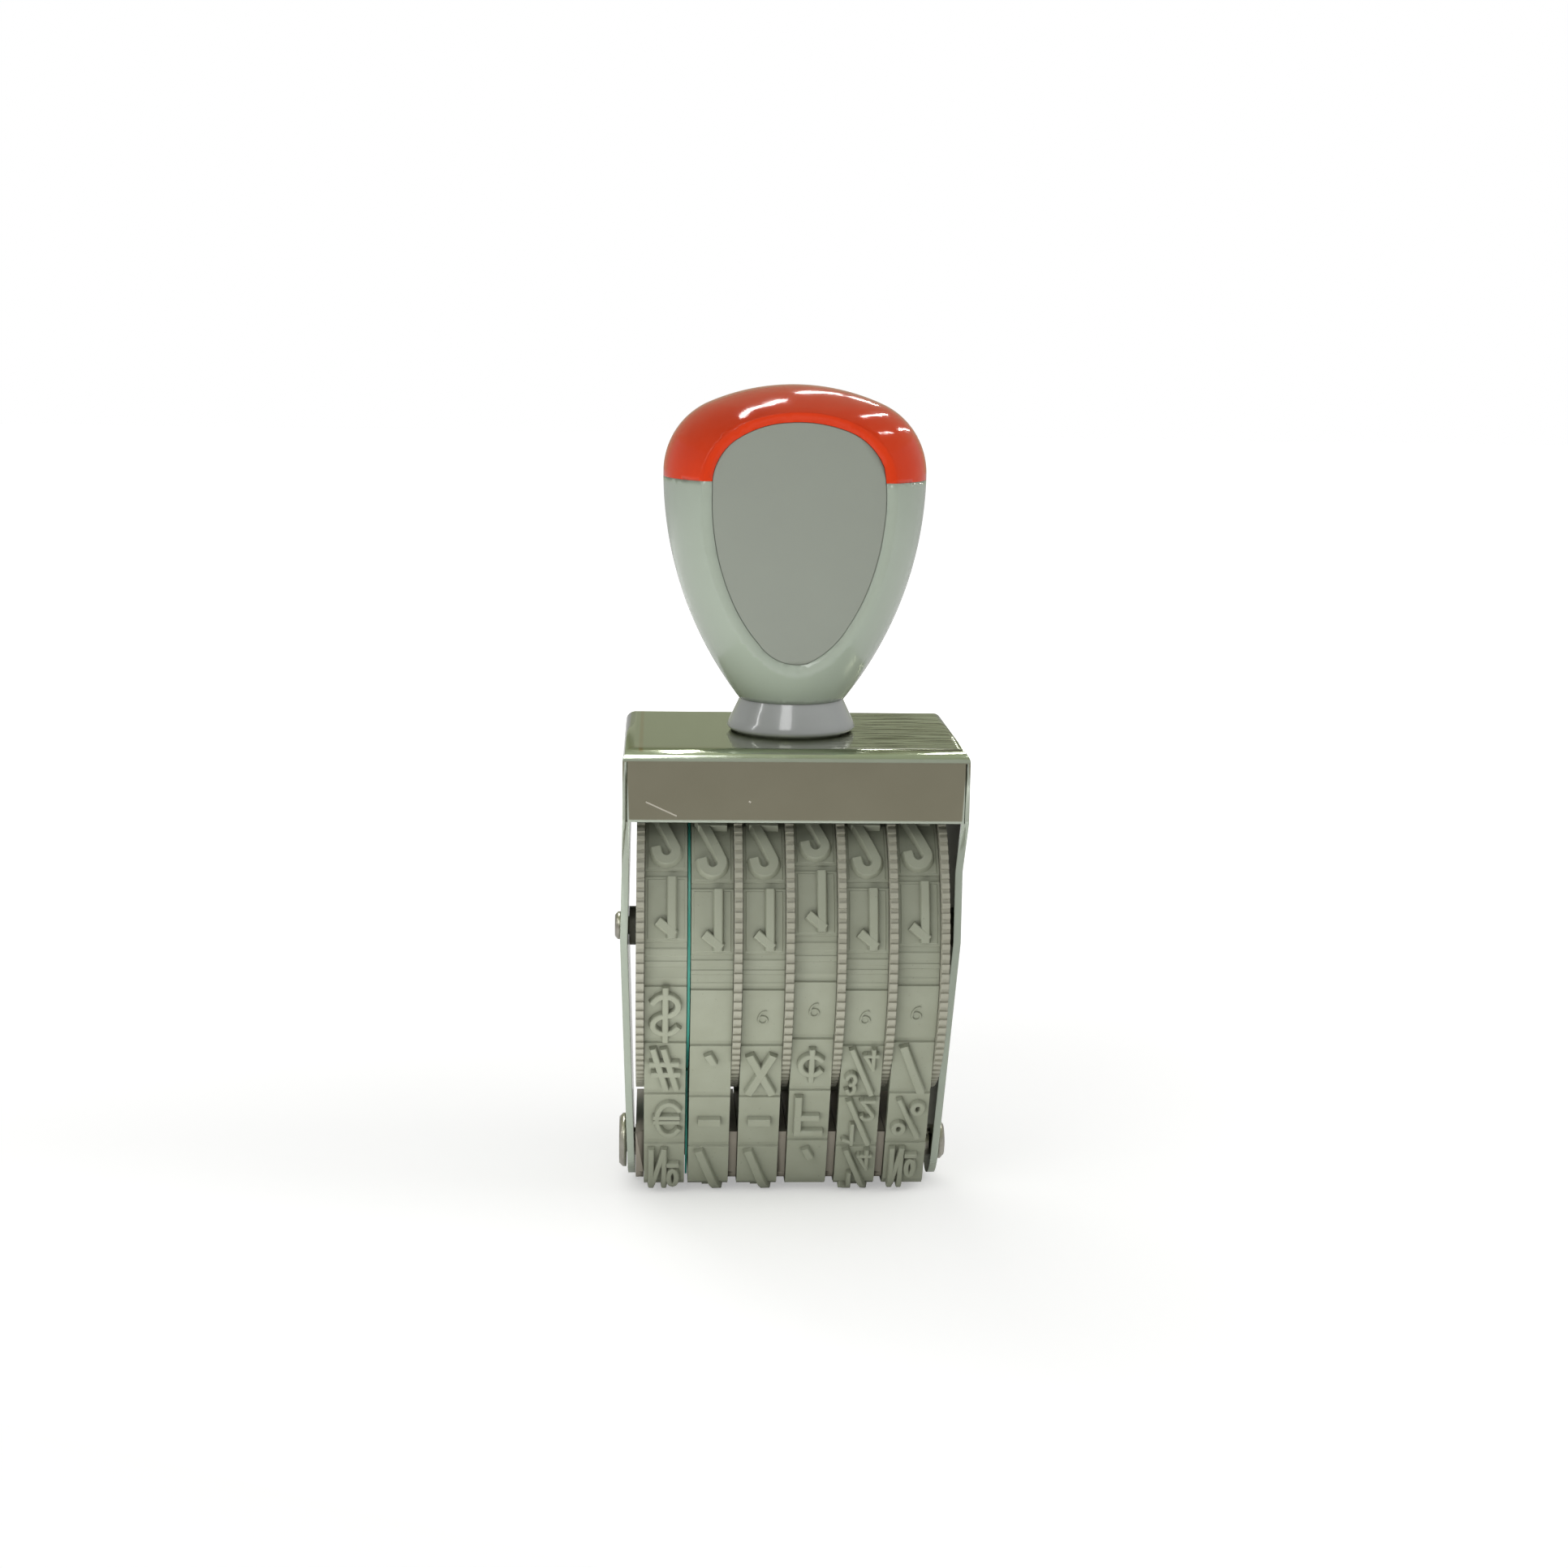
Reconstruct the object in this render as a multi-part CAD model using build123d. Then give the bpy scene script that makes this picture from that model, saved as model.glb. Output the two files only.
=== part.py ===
from build123d import *
import math
import os

# Six-band numbering hand stamp. Units are millimetres. X runs along the wheel axle, -Y faces the
# user, +Z is up, and the origin is at the middle of the printing plane that the stamp stands on.

# Band lanes along the axle
lane_count = 6
lane_pitch = 8.05
stack_shift = -0.45  # the lanes sit this far from the middle of the frame
band_width = 6.6
lane_play = 0.05  # gap from a lane's edge to its wheel, at each end
band_play = 0.06  # gap between a band and the flanges beside it
separator_thickness = 0.4
separator_inset = 3.0  # how far the separator's edge is inside the thumb rims
separator_play = 0.05  # gap from the separator to the lanes beside it

# Bands
band_thickness = 1.5
cell_height = 0.35
cell_gap = 0.5
type_height = 0.95
type_width = 5.4
symbol_count = 5
symbol_pitch = 10.9
digit_count = 10
splice_length = 3.7
splice_slack = 8.6  # loop length that the two splices share out
digit_advance = (2.7, 0.3, 0.0, 2.9, 0.9, 2.1)  # longer splice of each band, lane by lane

# Thumb wheels
rim_radius = 26.4
rim_step = 3.95  # from the thumb rim down to the corners of the drum's grip flats
rim_ribs = 36
rib_depth = 0.45
drum_flats = 18
drum_wall = 2.4
wheel_to_band = 0.25
hub_radius = 6.0
hub_flats = 10
web_recess = 2.2
running_gap = 0.05  # radial gap of every bore on its shaft

# Platen shoes and the bar that carries them
platen_flat = 10.0
platen_nose = 2.0
platen_top = 11.7
loop_gap = 5.3  # open space between the shoes and the thumb rims
shoe_gap = 0.05
flange_proud = 0.9
bar_depth = 6.4
bar_height = 3.2
bar_centre_z = 6.5
bar_tenon_radius = 2.0
bar_head_radii = (4.45, 3.2)  # formed head on the left, riveted end on the right
bar_head_height = 1.2

# Frame, folded from sheet
sheet = 1.2
bend_radius = 2.0
side_room = 1.45  # from the lanes to the side plates at the hood, if they were centred
head_room = 5.3  # from the thumb rims up to the hood
hood_depth = 40.0
hood_height = 11.5
seam_inset = 0.7
seam_width = 0.14
shoulder_drop = 9.3
shoulder_half_depth = 12.6
waist_half_depth = 11.1
axle_spread = 0.4
toe_in = (1.4, 2.35)  # how far the left and right plates lean in, from the axle to the floor
tip_radius = 5.5

# Axle and its spacers
axle_radius = 2.5
axle_tenon_radius = 1.5
axle_head_radius = 2.3
axle_head_height = 1.0
spacer_radius = 3.2
end_play = 0.05

# Handle, collar and fixing screw
collar_widest = 10.45
collar_lip = 0.9
collar_foot = 9.7
collar_top_radius = 8.35
collar_height = 5.4
neck_radius = 8.6
handle_radius = 21.0
flank_height = 36.2
dome_height = 13.9
crown_radius = 34.3
parting_drop = 0.7  # from the widest level down to the cap's parting line
facet_depth = 6.2  # from the handle's side in to a facet, at the widest level
facet_tilt = 4.8  # degrees
facet_border = 1.5
badge_thickness = 1.1
badge_sink = 0.1
badge_gap = 0.08
badge_stations = 24  # points on a badge's outline, which runs through them in arcs
key_width = 20.0  # locating key between body and cap
key_depth = 12.0
key_height = 4.0
key_gap = 0.1
screw_radius = 2.5
screw_length = 26.0
screw_head_radius = 4.5
screw_head_height = 2.4
screw_washer_radius = 6.0
screw_washer_thickness = 1.0
screw_tip_gap = 1.0

# Derived levels and places
type_plane = type_height + cell_height
platen_bottom = type_plane + band_thickness
axle_height = platen_top + loop_gap + rim_radius
nose_centre = Vector(platen_flat / 2, platen_bottom + platen_nose)
hub_centre = Vector(0, axle_height)
drum_radius = rim_radius - rim_step
belt_radius = drum_radius + wheel_to_band
separator_slot = separator_thickness + 2 * separator_play
stack_half = (lane_count * lane_pitch + separator_slot) / 2
stack_left = stack_shift - stack_half
stack_right = stack_shift + stack_half
frame_width = 2 * (stack_half + side_room + sheet)
hood_top = axle_height + rim_radius + head_room + sheet
hood_bottom = hood_top - hood_height
collar_top = hood_top + collar_height
widest_z = collar_top + flank_height
parting_z = widest_z - parting_drop


def belt_slope():
    """Angle between the vertical and the straight run of a band, in radians."""
    drop = hub_centre - nose_centre
    lean = math.atan2(nose_centre.X, drop.Y)
    return math.asin((belt_radius - platen_nose) / drop.length) - lean


def half_belt(grow):
    """Edges of half a belt path in (Y, Z), from the bottom middle to the top middle."""
    slope = belt_slope()
    outward = Vector(math.cos(slope), -math.sin(slope))
    nose_r = platen_nose + grow
    wheel_r = belt_radius + grow
    turn = (math.pi / 2 + slope) / 2
    nose_mid = Vector(math.sin(turn - slope), -math.cos(turn - slope))
    wheel_mid = Vector(math.cos(turn - slope), math.sin(turn - slope))
    foot = nose_centre - Vector(0, nose_r)
    return [
        Line((0, foot.Y), foot),
        ThreePointArc(foot, nose_centre + nose_mid * nose_r, nose_centre + outward * nose_r),
        Line(nose_centre + outward * nose_r, hub_centre + outward * wheel_r),
        ThreePointArc(
            hub_centre + outward * wheel_r,
            hub_centre + wheel_mid * wheel_r,
            hub_centre + Vector(0, wheel_r),
        ),
    ]


def belt_face(grow):
    """Face inside a belt path, in (Y, Z)."""
    half = half_belt(grow)
    return make_face(half + [mirror(edge, Plane.YZ) for edge in half])


def belt_place(distance, grow):
    """Location on a belt path, its distance from the bottom middle taken as positive up the front."""
    path = Wire(half_belt(grow))
    share = abs(distance) / path.length
    point = path.position_at(share)
    heading = path.tangent_at(share)
    side = -1 if distance > 0 else 1
    angle = math.degrees(math.atan2(heading.Y, side * heading.X))
    return Pos(side * point.X, point.Y) * Rot(0, 0, angle)


def along_x(sketch, x_from, x_to):
    """Solid of a (Y, Z) sketch between two X positions."""
    return extrude(Plane.YZ.offset(x_from) * sketch, amount=x_to - x_from)


def disc_x(radius, x_from, x_to, z):
    """Cylinder about an X-parallel axis."""
    return along_x(Pos(0, z) * Circle(radius), x_from, x_to)


def lane_span(lane, start, end):
    """X limits of a stretch of a lane, measured from the lane's band side towards its flange.

    The first lane is turned round, so that its flange is at the outside.
    """
    if lane == 0:
        edge = stack_left + lane_pitch
        return edge - end, edge - start
    edge = stack_left + separator_slot + lane * lane_pitch
    return edge + start, edge + end


def ribbed_circle(radius, depth, count):
    """Face with triangular ribs round its edge."""
    step = 2 * math.pi / count
    points = []
    for index in range(count):
        angle = index * step
        points.append(((radius - depth) * math.cos(angle), (radius - depth) * math.sin(angle)))
        angle += step / 2
        points.append((radius * math.cos(angle), radius * math.sin(angle)))
    return make_face(Polyline(*points, close=True))


def thumbwheel(lane):
    """Flat-sided drum that grips the band, its web and hub, and the ribbed thumb rim."""
    rim_side = band_width + 2 * band_play
    centre = Pos(0, axle_height)
    drum = centre * RegularPolygon(drum_radius, drum_flats)
    rim = centre * ribbed_circle(rim_radius, rib_depth, rim_ribs)
    hub = RegularPolygon(hub_radius, hub_flats)
    recess = centre * (RegularPolygon(drum_radius - drum_wall, drum_flats) - hub)
    wheel = along_x(drum, *lane_span(lane, lane_play, rim_side))
    wheel += along_x(rim, *lane_span(lane, rim_side, lane_pitch - lane_play))
    wheel -= along_x(recess, *lane_span(lane, 0, web_recess))
    wheel -= along_x(recess, *lane_span(lane, lane_pitch - web_recess, lane_pitch))
    return wheel - disc_x(axle_radius + running_gap, *lane_span(lane, 0, lane_pitch), axle_height)


def cell_edges(lane, loop_length):
    """Distances along the band of the grooves between its raised cells."""
    edges = [(n - 0.5) * symbol_pitch for n in range(symbol_count + 1)]
    digits_length = loop_length - symbol_count * symbol_pitch - 2 * splice_length - splice_slack
    digit_pitch = digits_length / digit_count
    start = edges[-1] + splice_length + digit_advance[lane]
    return edges + [start + n * digit_pitch for n in range(digit_count + 1)]


def band(lane):
    """Rubber loop with its cells, and the raised type that stands on the printing plane."""
    skin = band_thickness + cell_height
    loop_length = 2 * Wire(half_belt(skin)).length
    face = belt_face(skin) - belt_face(0)
    groove = Rectangle(cell_gap, 2 * cell_height)
    for edge in cell_edges(lane, loop_length):
        if edge > loop_length / 2:
            edge -= loop_length
        face -= belt_place(edge, skin) * groove
    x_from, x_to = lane_span(lane, band_play, band_play + band_width)
    middle = (x_from + x_to) / 2
    pad = Box(type_width, platen_flat - cell_gap, type_height)
    return along_x(face, x_from, x_to) + Pos(middle, 0, type_height / 2) * pad


def platen_shoe(lane):
    """Block that spreads one band at the printing plane, with its guide flange.

    The last shoe has no flange, because the side plate guides its band.
    """
    below_top = Pos(0, platen_top / 2) * Rectangle(4 * platen_flat, platen_top)
    block = belt_face(-shoe_gap) & below_top
    flange = belt_face(flange_proud) & below_top
    flange_start = band_width + 2 * band_play
    shoe = along_x(block, *lane_span(lane, lane_play, flange_start))
    if lane < lane_count - 1:
        shoe += along_x(flange, *lane_span(lane, flange_start, lane_pitch - lane_play))
    slot = Rectangle(bar_depth + 2 * running_gap, bar_height + 2 * running_gap)
    return shoe - along_x(Pos(0, bar_centre_z) * slot, *lane_span(lane, 0, lane_pitch))


def plate_outside(side, z):
    """Distance from the frame's middle to the outside of a side plate at a height."""
    half = frame_width / 2
    if z >= hood_bottom:
        return half
    if z >= axle_height:
        return half + axle_spread * (hood_bottom - z) / (hood_bottom - axle_height)
    lean = toe_in[0 if side < 0 else 1]
    return half + axle_spread - lean * (axle_height - z) / axle_height


def plate_outline():
    """Side plate below the hood, in (Y, Z): shoulders, waist and a taper to the round tip."""
    tip = Vector(0, bar_centre_z)
    reach = math.hypot(waist_half_depth, axle_height - bar_centre_z)
    taper = math.asin(tip_radius / reach) - math.atan2(waist_half_depth, axle_height - bar_centre_z)
    touch = tip + Vector(math.cos(taper), math.sin(taper)) * tip_radius
    corners = [
        (hood_depth / 2, hood_bottom + sheet),
        (hood_depth / 2, hood_bottom),
        (shoulder_half_depth, hood_bottom - shoulder_drop),
        (waist_half_depth, axle_height),
        (touch.X, touch.Y),
    ]
    right = Polyline(*corners)
    left = mirror(right, Plane.YZ)
    round_tip = ThreePointArc(right @ 1, tip - Vector(0, tip_radius), left @ 1)
    return make_face([right, round_tip, left, Line(left @ 0, right @ 0)])


def folded_frame():
    """Hood folded over the wheels and the two side plates that carry the axle and the bar."""
    outer = Pos(0, 0, hood_bottom) * Box(
        frame_width, hood_depth, hood_height, align=(Align.CENTER, Align.CENTER, Align.MIN)
    )
    outer = fillet(outer.faces().sort_by(Axis.Z)[-1].edges(), bend_radius)
    inner = Pos(0, 0, hood_bottom - sheet) * Box(
        frame_width - 2 * sheet, hood_depth - 2 * sheet, hood_height,
        align=(Align.CENTER, Align.CENTER, Align.MIN),
    )
    inner = fillet(inner.faces().sort_by(Axis.Z)[-1].edges(), bend_radius - sheet)
    levels = (hood_bottom + sheet, hood_bottom, axle_height, 0)
    blank = along_x(plate_outline(), -frame_width, frame_width)
    frame = outer - inner
    for side in (-1, 1):
        outside = [(side * plate_outside(side, z), z) for z in levels]
        inside = [(x - side * sheet, z) for x, z in reversed(outside)]
        section = Plane.XZ * make_face(Polyline(*outside, *inside, close=True))
        frame += extrude(section, hood_depth, both=True) & blank
    seam_height = hood_height - bend_radius
    seam = Box(seam_width, 2 * sheet, seam_height, align=(Align.CENTER, Align.CENTER, Align.MIN))
    for x in (-1, 1):
        for y in (-1, 1):
            frame -= Pos(x * (frame_width / 2 - seam_inset), y * hood_depth / 2, hood_bottom) * seam
    frame -= disc_x(axle_tenon_radius + running_gap, -frame_width, frame_width, axle_height)
    frame -= disc_x(bar_tenon_radius + running_gap, -frame_width, frame_width, bar_centre_z)
    return frame - Pos(0, 0, hood_top) * Cylinder(screw_radius + running_gap, 4 * sheet)


def plate_range(side, z, reach):
    """Least inner and greatest outer distance of a side plate within a reach of a height."""
    widths = [plate_outside(side, level) for level in (z - reach, z, z + reach)]
    return min(widths) - sheet, max(widths)


def shoulder(side, z, reach):
    """X where a bar or a spacer stops, with end play, inside a side plate."""
    return side * (plate_range(side, z, reach)[0] - end_play)


def riveted(section, reach, tenon_radius, head_radii, head_height, z):
    """Bar of a (Y, Z) section with a tenon through each side plate and a rivet head outside it."""
    piece = along_x(section, shoulder(-1, z, reach), shoulder(1, z, reach))
    for side, head_radius in zip((-1, 1), head_radii):
        seat = plate_range(side, z, head_radius)[1]
        head = disc_x(head_radius, side * seat, side * (seat + head_height), z)
        outer_face = head.faces().sort_by(Axis.X)[0 if side < 0 else -1]
        head = chamfer(outer_face.edges(), head_height / 2)
        piece += disc_x(tenon_radius, shoulder(side, z, reach), side * seat, z) + head
    return piece


def wheel_axle():
    """Shouldered axle, riveted over at both side plates."""
    section = Pos(0, axle_height) * Circle(axle_radius)
    heads = (axle_head_radius, axle_head_radius)
    return riveted(section, axle_radius, axle_tenon_radius, heads, axle_head_height, axle_height)


def platen_bar():
    """Flat bar through the shoes, riveted over at both side plates."""
    section = Pos(0, bar_centre_z) * Rectangle(bar_depth, bar_height)
    return riveted(
        section, bar_height / 2, bar_tenon_radius, bar_head_radii, bar_head_height, bar_centre_z
    )


def axle_spacer(side):
    """Tube between the end wheel and the side plate."""
    x_from = (stack_left if side < 0 else stack_right) + side * end_play
    x_to = shoulder(side, axle_height, spacer_radius)
    ring = disc_x(spacer_radius, x_from, x_to, axle_height)
    return ring - disc_x(axle_radius + running_gap, x_from, x_to, axle_height)


def separator_disc():
    """Thin disc between the first two bands."""
    x_from = stack_left + lane_pitch + separator_play
    x_to = x_from + separator_thickness
    disc = disc_x(rim_radius - separator_inset, x_from, x_to, axle_height)
    return disc - disc_x(axle_radius + running_gap, x_from, x_to, axle_height)


def collar():
    """Conical ring between the handle and the hood."""
    profile = Polyline(
        (screw_radius + running_gap, hood_top),
        (collar_foot, hood_top),
        (collar_widest, hood_top + collar_lip),
        (collar_top_radius, collar_top),
        (screw_radius + running_gap, collar_top),
        close=True,
    )
    return revolve(Plane.XZ * make_face(profile), Axis.Z)


def handle_blank():
    """Pear-shaped handle before its facets are cut: one flank arc, a shoulder arc and a crown."""
    swell = handle_radius - neck_radius
    flank_radius = (flank_height**2 + swell**2) / (2 * swell)
    flank_turn = math.asin(flank_height / flank_radius) / 2
    flank_centre = Vector(handle_radius - flank_radius, widest_z)
    flank_mid = flank_centre + Vector(math.cos(flank_turn), -math.sin(flank_turn)) * flank_radius
    crown_drop = crown_radius - dome_height
    shoulder_radius = (handle_radius**2 + crown_drop**2 - crown_radius**2) / (
        2 * (handle_radius - crown_radius)
    )
    shoulder_centre = Vector(handle_radius - shoulder_radius, widest_z)
    crown_centre = Vector(0, widest_z - crown_drop)
    lean = (shoulder_centre - crown_centre).normalized()
    joint = crown_centre + lean * crown_radius
    turn = math.atan2(lean.Y, lean.X)
    shoulder_mid = shoulder_centre + Vector(
        math.cos(turn / 2), math.sin(turn / 2)
    ) * shoulder_radius
    crown_turn = (turn + math.pi / 2) / 2
    crown_mid = crown_centre + Vector(math.cos(crown_turn), math.sin(crown_turn)) * crown_radius
    neck = Vector(neck_radius, collar_top)
    widest = Vector(handle_radius, widest_z)
    crown = Vector(0, widest_z + dome_height)
    outline = [
        Line((0, collar_top), neck),
        ThreePointArc(neck, flank_mid, widest),
        ThreePointArc(widest, shoulder_mid, joint),
        ThreePointArc(joint, crown_mid, crown),
        Line(crown, (0, collar_top)),
    ]
    return revolve(Plane.XZ * make_face(outline), Axis.Z)


def facet_plane(side):
    """Plane of a facet, its normal pointing away from the handle's axis."""
    tilt = math.radians(facet_tilt)
    normal = Vector(0, side * math.cos(tilt), -math.sin(tilt))
    origin = (0, side * (handle_radius - facet_depth), widest_z)
    return Plane(origin=origin, x_dir=(side, 0, 0), z_dir=normal)


def inset_outline(facet, inset):
    """Face whose outline of arcs runs at an even distance inside a facet's edge."""
    rim = offset(facet, -inset).wires()[0]
    points = [rim.position_at(n / badge_stations) for n in range(badge_stations)]
    points.append(points[0])
    arcs = [ThreePointArc(*points[n : n + 3]) for n in range(0, badge_stations, 2)]
    return Face(Wire(arcs))


def facet_badge(blank, side):
    """Pocket of a facet, following the facet's edge, and the badge that fills it."""
    inward = -facet_plane(side).z_dir
    facet = blank.faces().filter_by(lambda face: face.normal_at().dot(inward) < -0.9999)[0]
    window = inset_outline(facet, facet_border)
    pocket = extrude(window, badge_sink + badge_thickness, dir=inward)
    plate = extrude(inset_outline(facet, facet_border + badge_gap), badge_thickness, dir=inward)
    return pocket, Pos(inward * badge_sink) * plate


def handle_pieces():
    """Body, cap and the two facet badges."""
    reach = 4 * handle_radius
    blank = handle_blank()
    for side in (-1, 1):
        blank -= facet_plane(side) * Pos(0, 0, reach / 2) * Box(reach, reach, reach)
    fittings = [facet_badge(blank, side) for side in (-1, 1)]
    for pocket, badge in fittings:
        blank -= pocket
    upwards = (Align.CENTER, Align.CENTER, Align.MIN)
    bore = Cylinder(screw_radius + running_gap, screw_length + screw_tip_gap, align=upwards)
    blank -= Pos(0, 0, collar_top) * bore
    parting = Pos(0, 0, parting_z)
    above = parting * Box(reach, reach, reach, align=upwards)
    key = parting * Box(key_width, key_depth, key_height, align=upwards)
    keyway = parting * Box(
        key_width + 2 * key_gap, key_depth + 2 * key_gap, key_height + key_gap, align=upwards
    )
    return blank - above + key, (blank & above) - keyway, [badge for pocket, badge in fittings]


def handle_screw():
    """Pan-head screw up through the hood and the collar into the handle."""
    seat = hood_top - sheet - screw_washer_thickness
    upwards = (Align.CENTER, Align.CENTER, Align.MIN)
    head = Cylinder(screw_head_radius, screw_head_height, align=upwards)
    head = chamfer(head.faces().sort_by(Axis.Z)[0].edges(), screw_head_height / 3)
    shank = Cylinder(screw_radius, collar_top + screw_length - seat, align=upwards)
    return Pos(0, 0, seat - screw_head_height) * head + Pos(0, 0, seat) * shank


def screw_washer():
    """Washer between the screw's head and the hood."""
    ring = Cylinder(screw_washer_radius, screw_washer_thickness)
    ring -= Cylinder(screw_radius + running_gap, screw_washer_thickness)
    return Pos(0, 0, hood_top - sheet - screw_washer_thickness / 2) * ring


body, cap, badges = handle_pieces()
pieces = {
    "frame": folded_frame(),
    "wheel_axle": wheel_axle(),
    "axle_spacer_left": axle_spacer(-1),
    "axle_spacer_right": axle_spacer(1),
    "separator_disc": separator_disc(),
    "platen_bar": platen_bar(),
    "handle_collar": collar(),
    "handle_body": body,
    "handle_cap": cap,
    "front_badge": badges[0],
    "rear_badge": badges[1],
    "handle_screw": handle_screw(),
    "screw_washer": screw_washer(),
}
for lane in range(lane_count):
    pieces[f"thumbwheel_{lane + 1}"] = thumbwheel(lane)
    pieces[f"band_{lane + 1}"] = band(lane)
    pieces[f"platen_shoe_{lane + 1}"] = platen_shoe(lane)

os.makedirs("parts", exist_ok=True)
for name, piece in pieces.items():
    export_step(piece, f"parts/{name}.step")
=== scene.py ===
"""Looks of a six-band numbering hand stamp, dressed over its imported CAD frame."""

import logging
import math
from dataclasses import dataclass, field
from enum import Enum

import bmesh
import bpy
from mathutils import Matrix, Vector

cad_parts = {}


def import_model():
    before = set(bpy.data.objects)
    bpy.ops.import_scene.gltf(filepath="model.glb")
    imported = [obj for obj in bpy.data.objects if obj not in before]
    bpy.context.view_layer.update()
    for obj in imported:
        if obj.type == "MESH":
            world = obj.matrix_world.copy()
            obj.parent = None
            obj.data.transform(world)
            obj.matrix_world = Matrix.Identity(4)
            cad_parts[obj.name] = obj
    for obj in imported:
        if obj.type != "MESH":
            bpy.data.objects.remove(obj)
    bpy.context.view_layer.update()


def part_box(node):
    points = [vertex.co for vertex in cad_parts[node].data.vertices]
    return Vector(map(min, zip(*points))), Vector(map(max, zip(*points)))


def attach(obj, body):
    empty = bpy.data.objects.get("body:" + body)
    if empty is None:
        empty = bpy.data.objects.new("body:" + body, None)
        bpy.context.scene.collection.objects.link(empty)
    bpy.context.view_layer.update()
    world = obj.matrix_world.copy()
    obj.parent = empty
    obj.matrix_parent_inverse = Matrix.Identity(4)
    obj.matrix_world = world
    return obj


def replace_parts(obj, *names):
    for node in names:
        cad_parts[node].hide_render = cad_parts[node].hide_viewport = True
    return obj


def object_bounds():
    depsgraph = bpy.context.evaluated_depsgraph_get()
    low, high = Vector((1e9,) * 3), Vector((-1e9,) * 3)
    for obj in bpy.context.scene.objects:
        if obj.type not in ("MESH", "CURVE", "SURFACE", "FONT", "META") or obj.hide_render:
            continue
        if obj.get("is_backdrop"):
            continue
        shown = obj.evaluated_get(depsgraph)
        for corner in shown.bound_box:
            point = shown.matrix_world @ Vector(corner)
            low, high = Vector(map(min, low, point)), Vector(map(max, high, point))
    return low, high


LOG = logging.getLogger("hand_stamp")
MM = 0.001
LANES = 6
STAMP = "stamp_frame"
WHITE = (1.0, 1.0, 1.0)
EVEN = (1.0, 1.0, 1.0)
SQUARE_ON = (0.8, 0.95)  # share of a direction along an axis, from none to all of its weight
Colour = tuple[float, float, float]
Place = tuple[float, float, float]
Point = tuple[float, float]
Bounds = tuple[Vector, Vector]
Rows = list[list[bmesh.types.BMVert]]


# ---------------------------------------------------------------- shader and node helpers


class Wire:
    """One output of a node tree, with arithmetic that adds Math nodes."""

    def __init__(self, tree: "Tree", source: "bpy.types.NodeSocket | None") -> None:
        """Keeps a socket and the tree that it belongs to.

        Args:
            tree: The tree that new nodes are added to.
            source: The output socket, if the node has any.
        """
        self.tree = tree
        self.source = source

    def _math(self, operation: str, first: "Wire | float", second: "Wire | float" = 0.0) -> "Wire":
        """Output of one Math node."""
        return self.tree.node("ShaderNodeMath", {"operation": operation}, {0: first, 1: second})

    def __add__(self, other: "Wire | float") -> "Wire":
        """Sum."""
        return self._math("ADD", self, other)

    def __radd__(self, other: float) -> "Wire":
        """Sum with the number first."""
        return self._math("ADD", other, self)

    def __sub__(self, other: "Wire | float") -> "Wire":
        """Difference."""
        return self._math("SUBTRACT", self, other)

    def __rsub__(self, other: float) -> "Wire":
        """Difference with the number first."""
        return self._math("SUBTRACT", other, self)

    def __mul__(self, other: "Wire | float") -> "Wire":
        """Product."""
        return self._math("MULTIPLY", self, other)

    def __rmul__(self, other: float) -> "Wire":
        """Product with the number first."""
        return self._math("MULTIPLY", other, self)

    def __truediv__(self, other: "Wire | float") -> "Wire":
        """Quotient."""
        return self._math("DIVIDE", self, other)

    def __abs__(self) -> "Wire":
        """Absolute value."""
        return self._math("ABSOLUTE", self)

    def over(self, level: float) -> "Wire":
        """One where this is greater than a level, else nought."""
        return self._math("GREATER_THAN", self, level)

    def rise(self, low: float, high: float) -> "Wire":
        """Nought at low and one at high, straight between them and held outside them."""
        return self.tree.node("ShaderNodeClamp", {}, {"Value": (self - low) / (high - low)})

    def fall(self, low: float, high: float) -> "Wire":
        """One at low and nought at high, straight between them and held outside them."""
        return 1.0 - self.rise(low, high)

    def near(self, place: float, inner: float, outer: float) -> "Wire":
        """One within the inner distance of a place and nought beyond the outer one."""
        return abs(self - place).fall(inner, outer)


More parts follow.
